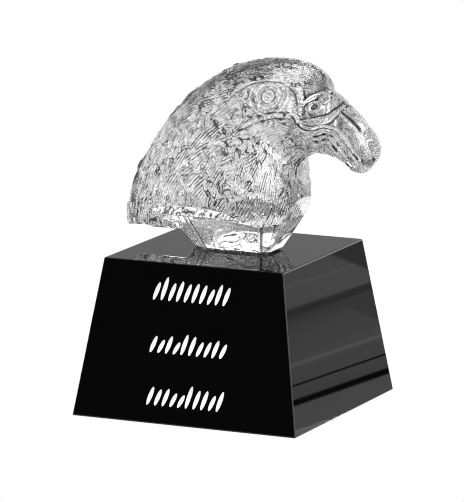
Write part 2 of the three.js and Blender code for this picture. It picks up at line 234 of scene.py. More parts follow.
# %% [markdown]
# ### The pale side of the floor
#
# Elsewhere the floor carries rings round the object and spokes away from it, so the glass finds bars
# whichever way it looks. The left is brighter, because the ground facets on the left of the foot shine.
# The strip in front is even, as the neck looks down into it.

# %% Rings and spokes
RING_PITCH = 0.07
SPOKE_PITCH = 8.0
LEFT_GAIN = 1.9
LEFT_TURNS = (-35, -60)
FLOOR_WEDGES = [(-60, -45, 0.72, 0.96, 2.4)]
WEDGE_SIDES_SOFT, WEDGE_ENDS_SOFT = 0.5, 0.02
FRONT_LINE, FRONT_SOFT = -0.02, 0.01
AHEAD_LEVEL = 0.8


def in_degrees(tree, angle):
    return number(tree, "MULTIPLY", angle, 180 / math.pi)


def pale_side(tree, place, x, y):
    """Rings and spokes, brighter to the left, and an even strip in front."""
    reach = tree.nodes.new("ShaderNodeVectorMath")
    reach.operation = "LENGTH"
    tree.links.new(place, reach.inputs[0])
    radius = reach.outputs["Value"]
    turn = in_degrees(tree, number(tree, "ARCTAN2", x, y))
    rings = bars(tree, radius, RING_PITCH)
    spokes = bars(tree, turn, SPOKE_PITCH)
    pale = number(tree, "MULTIPLY", rings, spokes)
    toward_left = tree.nodes.new("ShaderNodeMapRange")
    ends = zip(("From Min", "From Max", "To Min", "To Max"), (*LEFT_TURNS, 1.0, LEFT_GAIN))
    for name, value in ends:
        toward_left.inputs[name].default_value = value
    tree.links.new(turn, toward_left.inputs["Value"])
    pale = number(tree, "MULTIPLY", pale, toward_left.outputs[0])
    for left, right, nearer, farther, level in FLOOR_WEDGES:
        in_turn = between(tree, turn, left, right, WEDGE_SIDES_SOFT)
        in_reach = between(tree, radius, nearer, farther, WEDGE_ENDS_SOFT)
        pale = blend(tree, number(tree, "MULTIPLY", in_turn, in_reach), pale, level)
    ahead = between(tree, y, -FAR_OFF, FRONT_LINE, FRONT_SOFT)
    return blend(tree, ahead, pale, AHEAD_LEVEL)


print("rings every", RING_PITCH, "m, spokes every", SPOKE_PITCH, "degrees")

# %% [markdown]
# ### The floor
#
# The picture's ground is plain white, whatever the glass sees there. The Light Path node tells the two
# apart: a ray straight from the camera finds white, and every other ray finds the pattern.

# %% Floor
FLOOR_SIZE = 12.0
CARD_START = 0.045
CARD_SIDE = 2.05


def white_to_camera(tree, value):
    """White for the camera's own rays, and the value for all others."""
    seen = tree.nodes.new("ShaderNodeLightPath")
    mix = tree.nodes.new("ShaderNodeMix")
    mix.data_type = "FLOAT"
    mix.inputs["B"].default_value = 1.0
    tree.links.new(seen.outputs["Is Camera Ray"], mix.inputs["Factor"])
    tree.links.new(value, mix.inputs["A"])
    return mix.outputs["Result"]


def object_from(name, vertices, faces, materials=()):
    mesh = bpy.data.meshes.new(name)
    mesh.from_pydata(vertices, [], faces)
    mesh.validate()
    made = bpy.data.objects.new(name, mesh)
    bpy.context.collection.objects.link(made)
    for material in materials:
        mesh.materials.append(material)
    return made


def floor_material():
    material = bpy.data.materials.new("pale_floor")
    material.use_nodes = True
    tree = material.node_tree
    tree.nodes.remove(tree.nodes["Principled BSDF"])
    place = tree.nodes.new("ShaderNodeTexCoord").outputs["Object"]
    split = tree.nodes.new("ShaderNodeSeparateXYZ")
    tree.links.new(place, split.inputs[0])
    x, y = split.outputs["X"], split.outputs["Y"]
    across = card_distance(tree, x, y)
    beside = number(tree, "SUBTRACT", number(tree, "MULTIPLY", x, CARD_SIDE), y)
    carded = number(
        tree, "MULTIPLY",
        number(tree, "GREATER_THAN", across, CARD_START),
        number(tree, "GREATER_THAN", beside, 0.0),
    )
    pale = pale_side(tree, place, x, y)
    level = blend(tree, carded, pale, cards(tree, x, y, across))
    shine = tree.nodes.new("ShaderNodeEmission")
    tree.links.new(white_to_camera(tree, level), shine.inputs["Strength"])
    tree.links.new(shine.outputs[0], tree.nodes["Material Output"].inputs["Surface"])
    return material


def make_floor():
    half = FLOOR_SIZE / 2
    corners = [(-half, -half, 0), (half, -half, 0), (half, half, 0), (-half, half, 0)]
    floor = object_from("floor", corners, [(0, 1, 2, 3)], [floor_material()])
    print("floor", FLOOR_SIZE, "m,", len(floor.data.materials[0].node_tree.nodes), "nodes")


make_floor()

# %% [markdown]
# ### The room
#
# The room is the world round the scene. It has bars by height and by turn, and a soft light overhead.
# The plinth's black faces mirror a few places in it, and each place has a window with its own level:
# darkness before the front face, and a dim haze low behind for the top.

# %% Room
ROOM_HEIGHTS = [
    (0, 1.0), (0.55, 1.0), (0.6, 0.7), (0.93, 0.7), (0.94, 10), (0.985, 10), (0.99, 0.7), (1, 0.7),
]
RISE_PITCH = 7.0
TURN_PITCH = 9.0
WINDOW_BORDER = 1.0
ROOM_WINDOWS = [
    (-33, -17, 8, 15, 0.36), (4, 62, -2, 24, 1.7), (80, 181, 36, 62, 1.4), (-181, -100, 36, 62, 1.5),
    (120, 181, -10, 35, 0.02), (-181, -120, -10, 35, 0.02),
]


def make_room():
    world = bpy.data.worlds.new("studio_room")
    bpy.context.scene.world = world
    world.use_nodes = True
    tree = world.node_tree
    split = tree.nodes.new("ShaderNodeSeparateXYZ")
    tree.links.new(tree.nodes.new("ShaderNodeTexCoord").outputs["Generated"], split.inputs[0])
    x, y, z = split.outputs
    rise = in_degrees(tree, number(tree, "ARCSINE", z))
    turn = in_degrees(tree, number(tree, "ARCTAN2", x, y))
    by_rise = bars(tree, rise, RISE_PITCH)
    by_turn = bars(tree, turn, TURN_PITCH)
    room = number(tree, "MULTIPLY", by_rise, by_turn)
    room = number(tree, "MULTIPLY", room, ramp(tree, z, ROOM_HEIGHTS))
    for left, right, bottom, top, level in ROOM_WINDOWS:
        in_turn = between(tree, turn, left, right, WINDOW_BORDER)
        in_rise = between(tree, rise, bottom, top, WINDOW_BORDER)
        room = blend(tree, number(tree, "MULTIPLY", in_turn, in_rise), room, level)
    tree.links.new(white_to_camera(tree, room), tree.nodes["Background"].inputs["Strength"])
    tree.nodes["Background"].inputs["Color"].default_value = (1, 1, 1, 1)
    print("room", len(tree.nodes), "nodes,", len(ROOM_WINDOWS), "windows")


make_room()

# %% [markdown]
# ### Light through glass
#
# A ray crosses many faces of glass before it leaves the head, so the paths are long. The plain Standard
# view keeps a white ground white.

# %% Light paths
GLASS_BOUNCES = 24
MIRROR_BOUNCES = 8
PIXEL_WIDTH = 1.1

scene = bpy.context.scene
scene.view_settings.view_transform = "Standard"
scene.cycles.filter_width = PIXEL_WIDTH
scene.cycles.max_bounces = GLASS_BOUNCES
scene.cycles.transmission_bounces = GLASS_BOUNCES
scene.cycles.glossy_bounces = MIRROR_BOUNCES
print("paths through glass up to", GLASS_BOUNCES, "bounces")

# %% [markdown]
# ## Finishes
#
# ### The mould's skin, as painted shade
#
# Pressed glass takes the fine marks of its mould, a web of short worm-like lines. They are too fine to
# carve, so the dark lines that the light shows along them are drawn as a tint of painted shade: a soft
# noise has contour lines of just that shape, and a second noise breaks them up. The mesh says with an
# attribute where the skin is smoother, as on the beak.

# %% Skin of the mould
SKIN_SCALE = 210
SKIN_LINES = 6.0
SKIN_PROFILE = [(0, 0), (0.1, 0.02), (0.24, 1), (0.5, 0.7), (0.76, 1), (0.9, 0.02), (1, 0)]
SKIN_PATCHES = [(0.34, 0.25), (0.56, 1)]


def noise(tree, scale, detail=2, distortion=0):
    """A noise on Object coordinates, which stays with the piece."""
    node = tree.nodes.new("ShaderNodeTexNoise")
    for name, value in (("Scale", scale), ("Detail", detail), ("Distortion", distortion)):
        node.inputs[name].default_value = value
    tree.links.new(tree.nodes.new("ShaderNodeTexCoord").outputs["Object"], node.inputs["Vector"])
    return node.outputs["Fac"]


def stored(tree, name):
    """A number that the mesh holds for each of its points."""
    node = tree.nodes.new("ShaderNodeAttribute")
    node.attribute_name = name
    return node.outputs["Fac"]


def painted_skin_lines(tree):
    """Painted shade: dark contour lines of a soft noise, broken up by another."""
    field = noise(tree, SKIN_SCALE, distortion=0.6)
    wave = number(tree, "FRACT", number(tree, "MULTIPLY", field, SKIN_LINES))
    line = ramp(tree, wave, SKIN_PROFILE)
    patches = noise(tree, SKIN_SCALE * 0.7, detail=1)
    shown = ramp(tree, patches, SKIN_PATCHES)
    shown = number(tree, "MULTIPLY", shown, stored(tree, "texture"))
    return blend(tree, shown, 1.0, line)


print("skin lines about", round(1000 / SKIN_SCALE / SKIN_LINES, 2), "mm apart")

# %% [markdown]
# ### Clear crystal
#
# Clear crystal is one shader: full transmission, no roughness, and the index of refraction of lead-free
# crystal. The ground facets are just that. The moulded skin is the same glass, with painted shade in
# its grooves and painted highlights on its ridges, where the real glass only bends the light. Painting
# it by hand would never follow the carving, so the mesh stores how deep each point lies, and a ramp
# turns that into this painted tint.

# %% Crystal
CRYSTAL_IOR = 1.52
PAINTED_LIGHT_TINTS = [(0.0, 0.0), (0.14, 0.02), (0.34, 0.5), (0.52, 0.78), (0.66, 0.84), (0.8, 1.0), (1.0, 1.0)]


def new_material(name):
    material = bpy.data.materials.new(name)
    material.use_nodes = True
    return material, material.node_tree, material.node_tree.nodes["Principled BSDF"]


def crystal(name, carved):
    material, tree, shader = new_material(name)
    shader.inputs["Base Color"].default_value = (0.985, 0.99, 0.99, 1)
    shader.inputs["Roughness"].default_value = 0.0
    shader.inputs["IOR"].default_value = CRYSTAL_IOR
    shader.inputs["Transmission Weight"].default_value = 1.0
    # Painted light and shade: the stored number darkens grooves and lightens ridges, and the painted skin
    # lines darken more.
    if carved:
        tint = ramp(tree, stored(tree, "painted_highlight_and_shade"), PAINTED_LIGHT_TINTS)
        skin = painted_skin_lines(tree)
        tree.links.new(number(tree, "MULTIPLY", tint, skin), shader.inputs["Base Color"])
    return material


MOULDED_WITH_PAINTED_LIGHT = crystal("moulded_crystal_painted_light", True)
GROUND = crystal("ground_crystal", False)
print("materials", MOULDED_WITH_PAINTED_LIGHT.name, GROUND.name, "IOR", CRYSTAL_IOR)

# %% [markdown]
# ### Edges left by the wheel
#
# Where two ground facets meet, the wheel leaves a narrow edge that is never quite polished. It could be
# a bump, but it is a strip of faces on the real bevel with a finish of its own: glass whose roughness
# wanders a little, as the wheel leaves it, and whose darker colour is painted shade, for the dark lines
# along the edges and the dark gap where the foot stands on the plinth.

# %% Matt edge and its painted shade
GRIT_SCALE = 900
EDGE_ROUGHNESS = (0.1, 0.35)


def stretched(tree, source, low, high):
    """A value between 0 and 1, moved into another range."""
    node = tree.nodes.new("ShaderNodeMapRange")
    node.inputs["To Min"].default_value = low
    node.inputs["To Max"].default_value = high
    tree.links.new(source, node.inputs["Value"])
    return node.outputs[0]


def matt_edge_painted_shade():
    material, tree, shader = new_material("ground_edge_painted_shade")
    # Painted shade: the dark colour stands in for the dark lines along the edges; the roughness is the
    # real matt finish.
    shader.inputs["Base Color"].default_value = (0.05, 0.05, 0.05, 1)
    shader.inputs["IOR"].default_value = CRYSTAL_IOR
    shader.inputs["Transmission Weight"].default_value = 1.0
    grit = noise(tree, GRIT_SCALE)
    tree.links.new(stretched(tree, grit, *EDGE_ROUGHNESS), shader.inputs["Roughness"])
    return material


SHADED_EDGE = matt_edge_painted_shade()
print("material", SHADED_EDGE.name, "roughness", EDGE_ROUGHNESS)

# %% [markdown]
# ### Black crystal
#
# The plinth is the same glass, coloured through until no light passes. It could be glass with a strong
# absorption, but only its polish can be seen, so it is a black gloss with a faint haze of wiping marks.

# %% Black crystal
HAZE_SCALE = 60
BLACK_ROUGHNESS = (0.0, 0.05)


def black_crystal():
    material, tree, shader = new_material("black_crystal")
    shader.inputs["Base Color"].default_value = (0.002, 0.002, 0.0025, 1)
    shader.inputs["IOR"].default_value = CRYSTAL_IOR
    haze = noise(tree, HAZE_SCALE, detail=4)
    tree.links.new(stretched(tree, haze, *BLACK_ROUGHNESS), shader.inputs["Roughness"])
    return material


BLACK = black_crystal()
print("material", BLACK.name, "roughness", BLACK_ROUGHNESS)

# %% [markdown]
# ### Sandblasted white
#
# The strokes on the plinth are sandblasted and filled with white. The white is matt, and it glows a
# little as painted light, because the dark window before the front face would leave it grey.

# %% Frosted white
def frosted_white_with_glow():
    material, tree, shader = new_material("frosted_stroke_with_glow")
    shader.inputs["Base Color"].default_value = (0.9, 0.9, 0.9, 1)
    shader.inputs["Roughness"].default_value = 0.7
    # Painted light: a faint glow, though the stroke is no lamp.
    shader.inputs["Emission Color"].default_value = (1, 1, 1, 1)
    shader.inputs["Emission Strength"].default_value = 0.25
    return material


FROSTED_WITH_GLOW = frosted_white_with_glow()
print("material", FROSTED_WITH_GLOW.name)

# %% [markdown]
# ## The plinth
#
# The plinth is a square block that tapers upwards, with its edges broken by a narrow polished bevel. The
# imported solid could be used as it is, but the bevel draws a thin bright line along every edge in the
# picture, so the block is made anew with a rounder one. Its height is read from the frame.

# %% Plinth block
PLINTH_HEIGHT = Vector(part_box("plinth")[1]).z
FOOT_SIDE = 100 * MM
TOP_SIDE = 80 * MM
FACE_SLOPE = math.atan2((FOOT_SIDE - TOP_SIDE) / 2, PLINTH_HEIGHT)
BEVEL_WIDTH = 0.64 * MM
BEVEL_STEPS = 3


def applied(target, kind, **settings):
    """Runs one modifier at once, so that the piece stays a plain mesh."""
    modifier = target.modifiers.new(kind.lower(), kind)
    for name, value in settings.items():
        setattr(modifier, name, value)
    graph = bpy.context.evaluated_depsgraph_get()
    graph.update()
    result = bpy.data.meshes.new_from_object(target.evaluated_get(graph))
    target.modifiers.clear()
    old = target.data
    target.data = result
    bpy.data.meshes.remove(old)
    return target


def plinth_block():
    foot, top = FOOT_SIDE / 2, TOP_SIDE / 2
    corners = [(-1, -1), (1, -1), (1, 1), (-1, 1)]
    vertices = [(x * foot, y * foot, 0) for x, y in corners]
    vertices += [(x * top, y * top, PLINTH_HEIGHT) for x, y in corners]
    faces = [(3, 2, 1, 0), (4, 5, 6, 7)]
    faces += [(i, (i + 1) % 4, (i + 1) % 4 + 4, i + 4) for i in range(4)]
    block = object_from("plinth_block", vertices, faces, [BLACK, FROSTED_WITH_GLOW])
    return applied(block, "BEVEL", width=BEVEL_WIDTH, segments=BEVEL_STEPS, limit_method="NONE")


plinth = plinth_block()
print("plinth block", len(plinth.data.polygons), "faces,", round(PLINTH_HEIGHT / MM, 1), "mm high")

# %% [markdown]
# ## Rows of strokes
#
# Three rows of shallow slanted strokes stand on the front face. They could be modelled one by one, but
# they repeat by a rule, so a node tree lays them out, and its inputs are the sizes that a maker would
# change. A long thin disc, sheared to its slant, is set on a grid of points, and a random number with a
# fixed seed shortens it.

# %% Inputs of the tree
STROKE_INPUTS = {
    "Rows": ("NodeSocketInt", 3),
    "Strokes": ("NodeSocketInt", 10),
    "Row Length": ("NodeSocketFloat", 33 * MM),
    "Row Pitch": ("NodeSocketFloat", 21.4 * MM),
    "Stroke Width": ("NodeSocketFloat", 1.9 * MM),
    "Stroke Height": ("NodeSocketFloat", 9.6 * MM),
    "Shortest Share": ("NodeSocketFloat", 0.5),
    "Slant": ("NodeSocketFloat", math.tan(math.radians(15))),
    "Depth": ("NodeSocketFloat", 0.4 * MM),
    "Clear Above": ("NodeSocketFloat", 1 * MM),
    "Seed": ("NodeSocketInt", 5),
    "Material": ("NodeSocketMaterial", FROSTED_WITH_GLOW),
}

print("tree inputs:", ", ".join(STROKE_INPUTS))

# %% [markdown]
# ### One stroke
#
# A soft brush leaves a stroke that is pointed at both ends. A round disc, pressed narrow and pulled long,
# comes near that outline with few sides. It stands on its line, leans by the slant, and is as thick as
# its depth and the clearance above together, so that it cuts cleanly through the face.

# %% One stroke
DISC_SIDES = 24


def vector(tree, x, y, z):
    node = tree.nodes.new("ShaderNodeCombineXYZ")
    for socket, source in zip(node.inputs, (x, y, z)):
        plug(tree, socket, source)
    return node.outputs[0]


def stroke_solid(tree, sizes):
    """One stroke as a closed solid: it stands on its line, leans, and reaches into the face."""
    disc = tree.nodes.new("GeometryNodeMeshCylinder")
    disc.inputs["Vertices"].default_value = DISC_SIDES
    disc.inputs["Radius"].default_value = 1
    disc.inputs["Depth"].default_value = 1
    split = tree.nodes.new("ShaderNodeSeparateXYZ")
    tree.links.new(tree.nodes.new("GeometryNodeInputPosition").outputs[0], split.inputs[0])
    share = number(tree, "MULTIPLY_ADD", split.outputs["Y"], 0.5)
    share.node.inputs[2].default_value = 0.5
    rise = number(tree, "MULTIPLY", share, sizes["Stroke Height"])
    half = number(tree, "MULTIPLY", sizes["Stroke Width"], 0.5)
    across = number(tree, "MULTIPLY", split.outputs["X"], half)
    across = number(tree, "ADD", across, number(tree, "MULTIPLY", rise, sizes["Slant"]))
    thick = number(tree, "ADD", sizes["Depth"], sizes["Clear Above"])
    middle = number(tree, "SUBTRACT", sizes["Clear Above"], sizes["Depth"])
    level = number(tree, "MULTIPLY", split.outputs["Z"], thick)
    level = number(tree, "ADD", level, number(tree, "MULTIPLY", middle, 0.5))
    shaped = tree.nodes.new("GeometryNodeSetPosition")
    tree.links.new(disc.outputs["Mesh"], shaped.inputs["Geometry"])
    tree.links.new(vector(tree, across, rise, level), shaped.inputs["Position"])
    return shaped.outputs["Geometry"]


print("one stroke is a disc of", DISC_SIDES, "sides, sheared")

# %% [markdown]
# ### Places of the strokes
#
# A Mesh Line gives as many points as there are strokes. Each point's number, divided by the strokes in a
# row, says its column and its row, and Set Position moves it there.

# %% Places of the strokes
def stroke_places(tree, sizes):
    """The points that the strokes stand on, row under row."""
    line = tree.nodes.new("GeometryNodeMeshLine")
    tree.links.new(number(tree, "MULTIPLY", sizes["Rows"], sizes["Strokes"]), line.inputs["Count"])
    index = tree.nodes.new("GeometryNodeInputIndex").outputs[0]
    column = number(tree, "MODULO", index, sizes["Strokes"])
    row = number(tree, "FLOOR", number(tree, "DIVIDE", index, sizes["Strokes"]))
    span = number(tree, "SUBTRACT", sizes["Row Length"], sizes["Stroke Width"])
    gaps = number(tree, "SUBTRACT", sizes["Strokes"], 1)
    pitch = number(tree, "DIVIDE", span, gaps)
    x = number(tree, "MULTIPLY", column, pitch)
    x = number(tree, "SUBTRACT", x, number(tree, "MULTIPLY", span, 0.5))
    y = number(tree, "MULTIPLY", number(tree, "MULTIPLY", row, sizes["Row Pitch"]), -1)
    placed = tree.nodes.new("GeometryNodeSetPosition")
    tree.links.new(line.outputs["Mesh"], placed.inputs["Geometry"])
    tree.links.new(vector(tree, x, y, 0), placed.inputs["Position"])
    return placed.outputs["Geometry"]


print("places:", STROKE_INPUTS["Rows"][1], "rows of", STROKE_INPUTS["Strokes"][1])

# %% [markdown]
# ### The whole tree
#
# Instance on Points sets one stroke on every point, and Random Value shortens it. The tree ends in
# Realize Instances and Set Material, because the export drops instances.

# %% Tree of the strokes
def stroke_tree():
    tree = bpy.data.node_groups.new("rows_of_strokes", "GeometryNodeTree")
    for name, (kind, _) in STROKE_INPUTS.items():
        tree.interface.new_socket(name, in_out="INPUT", socket_type=kind)
    tree.interface.new_socket("Geometry", in_out="OUTPUT", socket_type="NodeSocketGeometry")
    sizes = tree.nodes.new("NodeGroupInput").outputs
    chance = tree.nodes.new("FunctionNodeRandomValue")
    ends = [socket for socket in chance.inputs if socket.enabled and socket.name in ("Min", "Max")]
    low, high = ends
    tree.links.new(sizes["Shortest Share"], low)
    high.default_value = 1.0
    tree.links.new(sizes["Seed"], chance.inputs["Seed"])
    share = next(socket for socket in chance.outputs if socket.enabled)
    spread = tree.nodes.new("GeometryNodeInstanceOnPoints")
    tree.links.new(stroke_places(tree, sizes), spread.inputs["Points"])
    tree.links.new(stroke_solid(tree, sizes), spread.inputs["Instance"])
    tree.links.new(vector(tree, 1, share, 1), spread.inputs["Scale"])
    real = tree.nodes.new("GeometryNodeRealizeInstances")
    tree.links.new(spread.outputs["Instances"], real.inputs["Geometry"])
    finished = tree.nodes.new("GeometryNodeSetMaterial")
    tree.links.new(real.outputs["Geometry"], finished.inputs["Geometry"])
    tree.links.new(sizes["Material"], finished.inputs["Material"])
    tree.links.new(finished.outputs["Geometry"], tree.nodes.new("NodeGroupOutput").inputs["Geometry"])
    return tree


STROKE_TREE = stroke_tree()
print("tree", STROKE_TREE.name, "has", len(STROKE_TREE.nodes), "nodes")

# %% [markdown]
# ### Cutting the strokes
#
# A sandblasted stroke is a real hollow, so the tree's solids are laid on the sloping front face and cut
# out of the block. The walls and floors of the hollows keep the second material of the cutters, the
# frosted white.

# %% Strokes cut into the face
TOP_ROW_DROP = 15.4 * MM
ROW_SHIFT = -1 * MM


def stroke_cutters():
    cutters = object_from("stroke_cutters", [(0, 0, 0)], [])
    modifier = cutters.modifiers.new("strokes", "NODES")
    modifier.node_group = STROKE_TREE
    for item in STROKE_TREE.interface.items_tree:
        if item.in_out == "INPUT":
            modifier[item.identifier] = STROKE_INPUTS[item.name][1]
    graph = bpy.context.evaluated_depsgraph_get()
    graph.update()
    strokes = bpy.data.meshes.new_from_object(cutters.evaluated_get(graph))
    cutters.modifiers.clear()
    cutters.data = strokes
    face_length = PLINTH_HEIGHT / math.cos(FACE_SLOPE)
    strokes.transform(
        Matrix.Translation((0, -FOOT_SIDE / 2, 0))
        @ Matrix.Rotation(math.pi / 2 - FACE_SLOPE, 4, "X")
        @ Matrix.Translation((ROW_SHIFT, face_length - TOP_ROW_DROP, 0))
    )
    strokes.materials.clear()
    for material in (BLACK, FROSTED_WITH_GLOW):
        strokes.materials.append(material)
    strokes.polygons.foreach_set("material_index", [1] * len(strokes.polygons))
    print("strokes", len(strokes.polygons), "faces")
    return cutters


def boolean(target, tool, operation):
    """One closed solid joined with, or cut by, another, which is used up."""
    applied(target, "BOOLEAN", object=tool, operation=operation, solver="MANIFOLD")
    bpy.data.objects.remove(tool, do_unlink=True)
    return target


boolean(plinth, stroke_cutters(), "DIFFERENCE")
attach(plinth, "root")
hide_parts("plinth")
print("plinth", len(plinth.data.polygons), "faces")

# %% [markdown]
# ## The head's smooth form
#
# Every section of the head stands on a ray from one point in front of the breast. Along those rays the
# section runs from the nape to the throat, and its half width comes from a smooth curve. The head could
# be sculpted by hand, but the same rays also give the feathers their sweep, because a feather's barbs
# run across them. Lengths are in millimetres here: x to the beak, h above the plinth's top.

# %% Outlines
FLOW_X, FLOW_H = 62.0, -47.0
TIP_ANGLE, TAIL_ANGLE = 88.3, 158.0
BEAK_POLE = (64.2, 45.2)
NAPE_LINE = [
    (-42.5, -3), (-43.4, 5.2), (-45.4, 8.4), (-46.4, 13), (-40.2, 33.5), (-27.6, 53), (-9.8, 69.9),
    (1.5, 76.1), (12, 79), (30, 78.8), (39.4, 74.5), (42.5, 69.4), (46.6, 66.7), (54.6, 59.8),
    (60.5, 53.5),
]
THROAT_LINE = [
    (25.4, -23.5), (30.9, -5), (31.9, 14.2), (31.4, 22.5), (28.6, 32), (30.4, 38.6), (36.2, 42.2),
    (41.9, 43.7), (46.8, 42.8), (50.9, 40.4), (54.2, 36.9), (56.6, 35.4), (59.3, 36.4), (62.8, 40.4),
]
print("nape", len(NAPE_LINE), "points, throat", len(THROAT_LINE), "points")

# %% [markdown]
# ### Widths
#
# A row of sections has the angle of its ray, its half width, how far its widest place leans to the nape,
# and how square it is. The smooth depths say how deep the neck would be without the hollow of the
# throat, so that the feathers' rows don't crowd together there.

# %% Widths
SECTIONS = [
    (158, 12, 0.3, 1), (155, 17.5, 0.3, 1), (151, 21, 0.3, 1), (146, 22.3, 0.3, 1), (132, 23.6, 0.3, 1),
    (120, 22.6, 0.28, 0.95), (112, 20.8, 0.2, 0.85), (106, 18.2, 0.08, 0.8), (102, 14.0, 0, 0.8),
    (99.5, 9.8, -0.1, 0.85), (97, 8.2, -0.1, 0.9), (94.5, 7.4, 0.15, 0.95), (92, 6.4, 0.3, 1),
    (90, 4.8, 0.2, 1), (TIP_ANGLE, 0, 0, 1),
]
SMOOTH_DEPTHS = [
    (158, 84), (150, 82), (140, 80), (130, 75), (120, 66), (114, 56), (109, 47), (104, 36), (99, 26.5),
    (95, 24), (91, 20), (89.5, 13), (TIP_ANGLE, 0),
]

print("widest section", 2 * max(row[1] for row in SECTIONS), "mm")

# %% [markdown]
# ### Smooth curves
#
# The numbers between two sections come from a curve. A common spline would swing past its points and
# dent the outline, so this one is monotone: between two points it never leaves their range.

# %% Smooth curves
def monotone_curve(points):
    """A smooth curve through points that never swings past them."""
    at, value = (np.array(column, float) for column in zip(*sorted(points)))
    gap = np.diff(at)
    rise = np.diff(value) / gap
    slope = np.concatenate([rise[:1], np.zeros(len(at) - 2), rise[-1:]])
    for i in range(1, len(at) - 1):
        if rise[i - 1] * rise[i] > 0:
            before, after = 2 * gap[i] + gap[i - 1], gap[i] + 2 * gap[i - 1]
            slope[i] = (before + after) / (before / rise[i - 1] + after / rise[i])

    def curve(t):
        t = np.clip(t, at[0], at[-1])
        i = np.clip(np.searchsorted(at, t, side="right") - 1, 0, len(gap) - 1)
        f = (t - at[i]) / gap[i]
        level = value[i] + f * f * (3 - 2 * f) * (value[i + 1] - value[i])
        return level + gap[i] * f * (1 - f) * ((1 - f) * slope[i] - f * slope[i + 1])

    return curve


def along_of(angle):
    return np.sqrt(np.maximum(np.asarray(angle, float) - TIP_ANGLE, 0) / (TAIL_ANGLE - TIP_ANGLE))


def outline_radius(line):
    points = [(0.0, math.hypot(BEAK_POLE[0] - FLOW_X, BEAK_POLE[1] - FLOW_H))]
    for x, h in line:
        angle = math.degrees(math.atan2(h - FLOW_H, x - FLOW_X))
        points.append((float(along_of(angle)), math.hypot(x - FLOW_X, h - FLOW_H)))
    return monotone_curve(points)


nape_radius = outline_radius(NAPE_LINE)
throat_radius = outline_radius(THROAT_LINE)
half_width, nape_share, squareness = (
    monotone_curve([(float(along_of(row[0])), row[k]) for row in SECTIONS]) for k in (1, 2, 3)
)
smooth_depth = monotone_curve([(float(along_of(angle)), depth) for angle, depth in SMOOTH_DEPTHS])
neck_ray = float(nape_radius(0.8) - throat_radius(0.8))
print("ray through the neck", round(neck_ray, 1), "mm from nape to throat")

# %% [markdown]
# ### Points of the form
#
# A point of the form comes from two numbers: along, from the beak's tip to the tail, and around, the
# angle round the section. The distance along the flow is measured once, so that feathers can be evenly
# long.

# %% Points of the form
LEAST_STRETCH, MOST_STRETCH = 0.7, 1.4
THROAT_SHARE = 0.5


def form_points(along, around):
    """Points in millimetres: x to the beak, y to the side, h above the plinth's top."""
    full = np.maximum(nape_radius(along) - throat_radius(along), 1e-6)
    stretch = np.clip(smooth_depth(along) / full, LEAST_STRETCH, MOST_STRETCH)
    even = (1 - np.cos(around)) / 2
    depth = even * (stretch + (1 - stretch) * even ** 2)
    lean = 1 - 2 * depth
    bulge = np.sqrt(np.clip(1 - lean ** 2, 0, 1))
    side = half_width(along) * bulge ** squareness(along) * (1 + nape_share(along) * lean)
    radius = nape_radius(along) - full * depth
    angle = np.radians(TIP_ANGLE + (TAIL_ANGLE - TIP_ANGLE) * along ** 2)
    x = FLOW_X + radius * np.cos(angle)
    h = FLOW_H + radius * np.sin(angle)
    return np.stack([x, -np.sign(np.sin(around)) * side, h], axis=-1)


def flow_table(samples=2000):
    """Distance along the flow at even steps of along, a mean of the nape's and the throat's."""
    along = np.linspace(0, 1, samples + 1)
    nape = form_points(along, np.zeros_like(along))
    throat = form_points(along, np.full_like(along, np.pi))
    nape_steps, throat_steps = (np.linalg.norm(np.diff(line, axis=0), axis=1) for line in (nape, throat))
    steps = nape_steps + THROAT_SHARE * throat_steps
    return along, np.concatenate([[0], np.cumsum(steps / (1 + THROAT_SHARE))])


flow_along, flow_length = flow_table()
print("flow from beak to tail", round(flow_length[-1], 1), "mm")

# %% [markdown]
# ### The grid
#
# The carving is fine, so the form gets a grid of points that is fine enough for it: half a millimetre
# apart on the face, and a little wider on the neck. The far side is never seen closely, so it has fewer.

# %% Grid of the head
NEAR_COLUMNS, FAR_COLUMNS = 460, 130
FACE_FLOW = 62.0
FACE_STEP, NECK_STEP = 0.5, 0.8
MID_DEPTH, MID_WIDTH = 40.0, 23.5


def column_angles():
    """Angles round the section, even in arc length on the mid neck, and finer on the near side."""
    fine = np.linspace(0, np.pi, 4001)
    speed = np.hypot(MID_DEPTH * np.sin(fine), MID_WIDTH * np.cos(fine))
    arc = np.concatenate([[0], np.cumsum((speed[1:] + speed[:-1]) / 2)])
    arc /= arc[-1]
    near = np.arange(NEAR_COLUMNS) / NEAR_COLUMNS
    far = np.arange(FAR_COLUMNS) / FAR_COLUMNS
    angles = np.concatenate([np.interp(near, arc, fine), np.pi + np.interp(far, arc, fine)])
    return angles, np.concatenate([near / 2, 0.5 + far / 2])


COLUMNS = NEAR_COLUMNS + FAR_COLUMNS
print("grid of", COLUMNS, "columns round the head")

# %% [markdown]
# ## Feathers
#
# Feathers lie in rows like tiles, each row half a feather out of step with the last. For any point of
# the form we ask which feather is uppermost there: the first row, counted from the beak, whose pointed
# tip still reaches it. That feather gives the height: it rises a little towards its tip, is arched
# across, and is scored by a cluster of barbs that turn and bend from feather to feather. They could be
# placed pieces, but light would show every hidden face inside glass, so they are the height of one skin.

# %% Sizes of the feathers
FIRST_ROW_ANGLE = 102.5
FEATHER_ROWS = 12
LANES = 56
LANE_WIDTH = 3.6
FEATHER_LIFT = 0.2
FEATHER_CAMBER = 0.12
TIP_LENGTH = 0.55
TIP_ROUNDNESS = 1.6
TIP_CHANCE = 0.35
BARB_BEND = 1.6
BARB_TURN = math.radians(44)
BARB_PITCH = 1.2
BARB_DEPTH = 0.42
BARB_WIDTH = 0.27
FAR_BARBS = 0.3

first_row = np.interp(along_of(FIRST_ROW_ANGLE), flow_along, flow_length)
row_length = (flow_length[-1] - first_row) / FEATHER_ROWS
print(FEATHER_ROWS * LANES, "feathers,", round(row_length, 1), "mm from row to row")

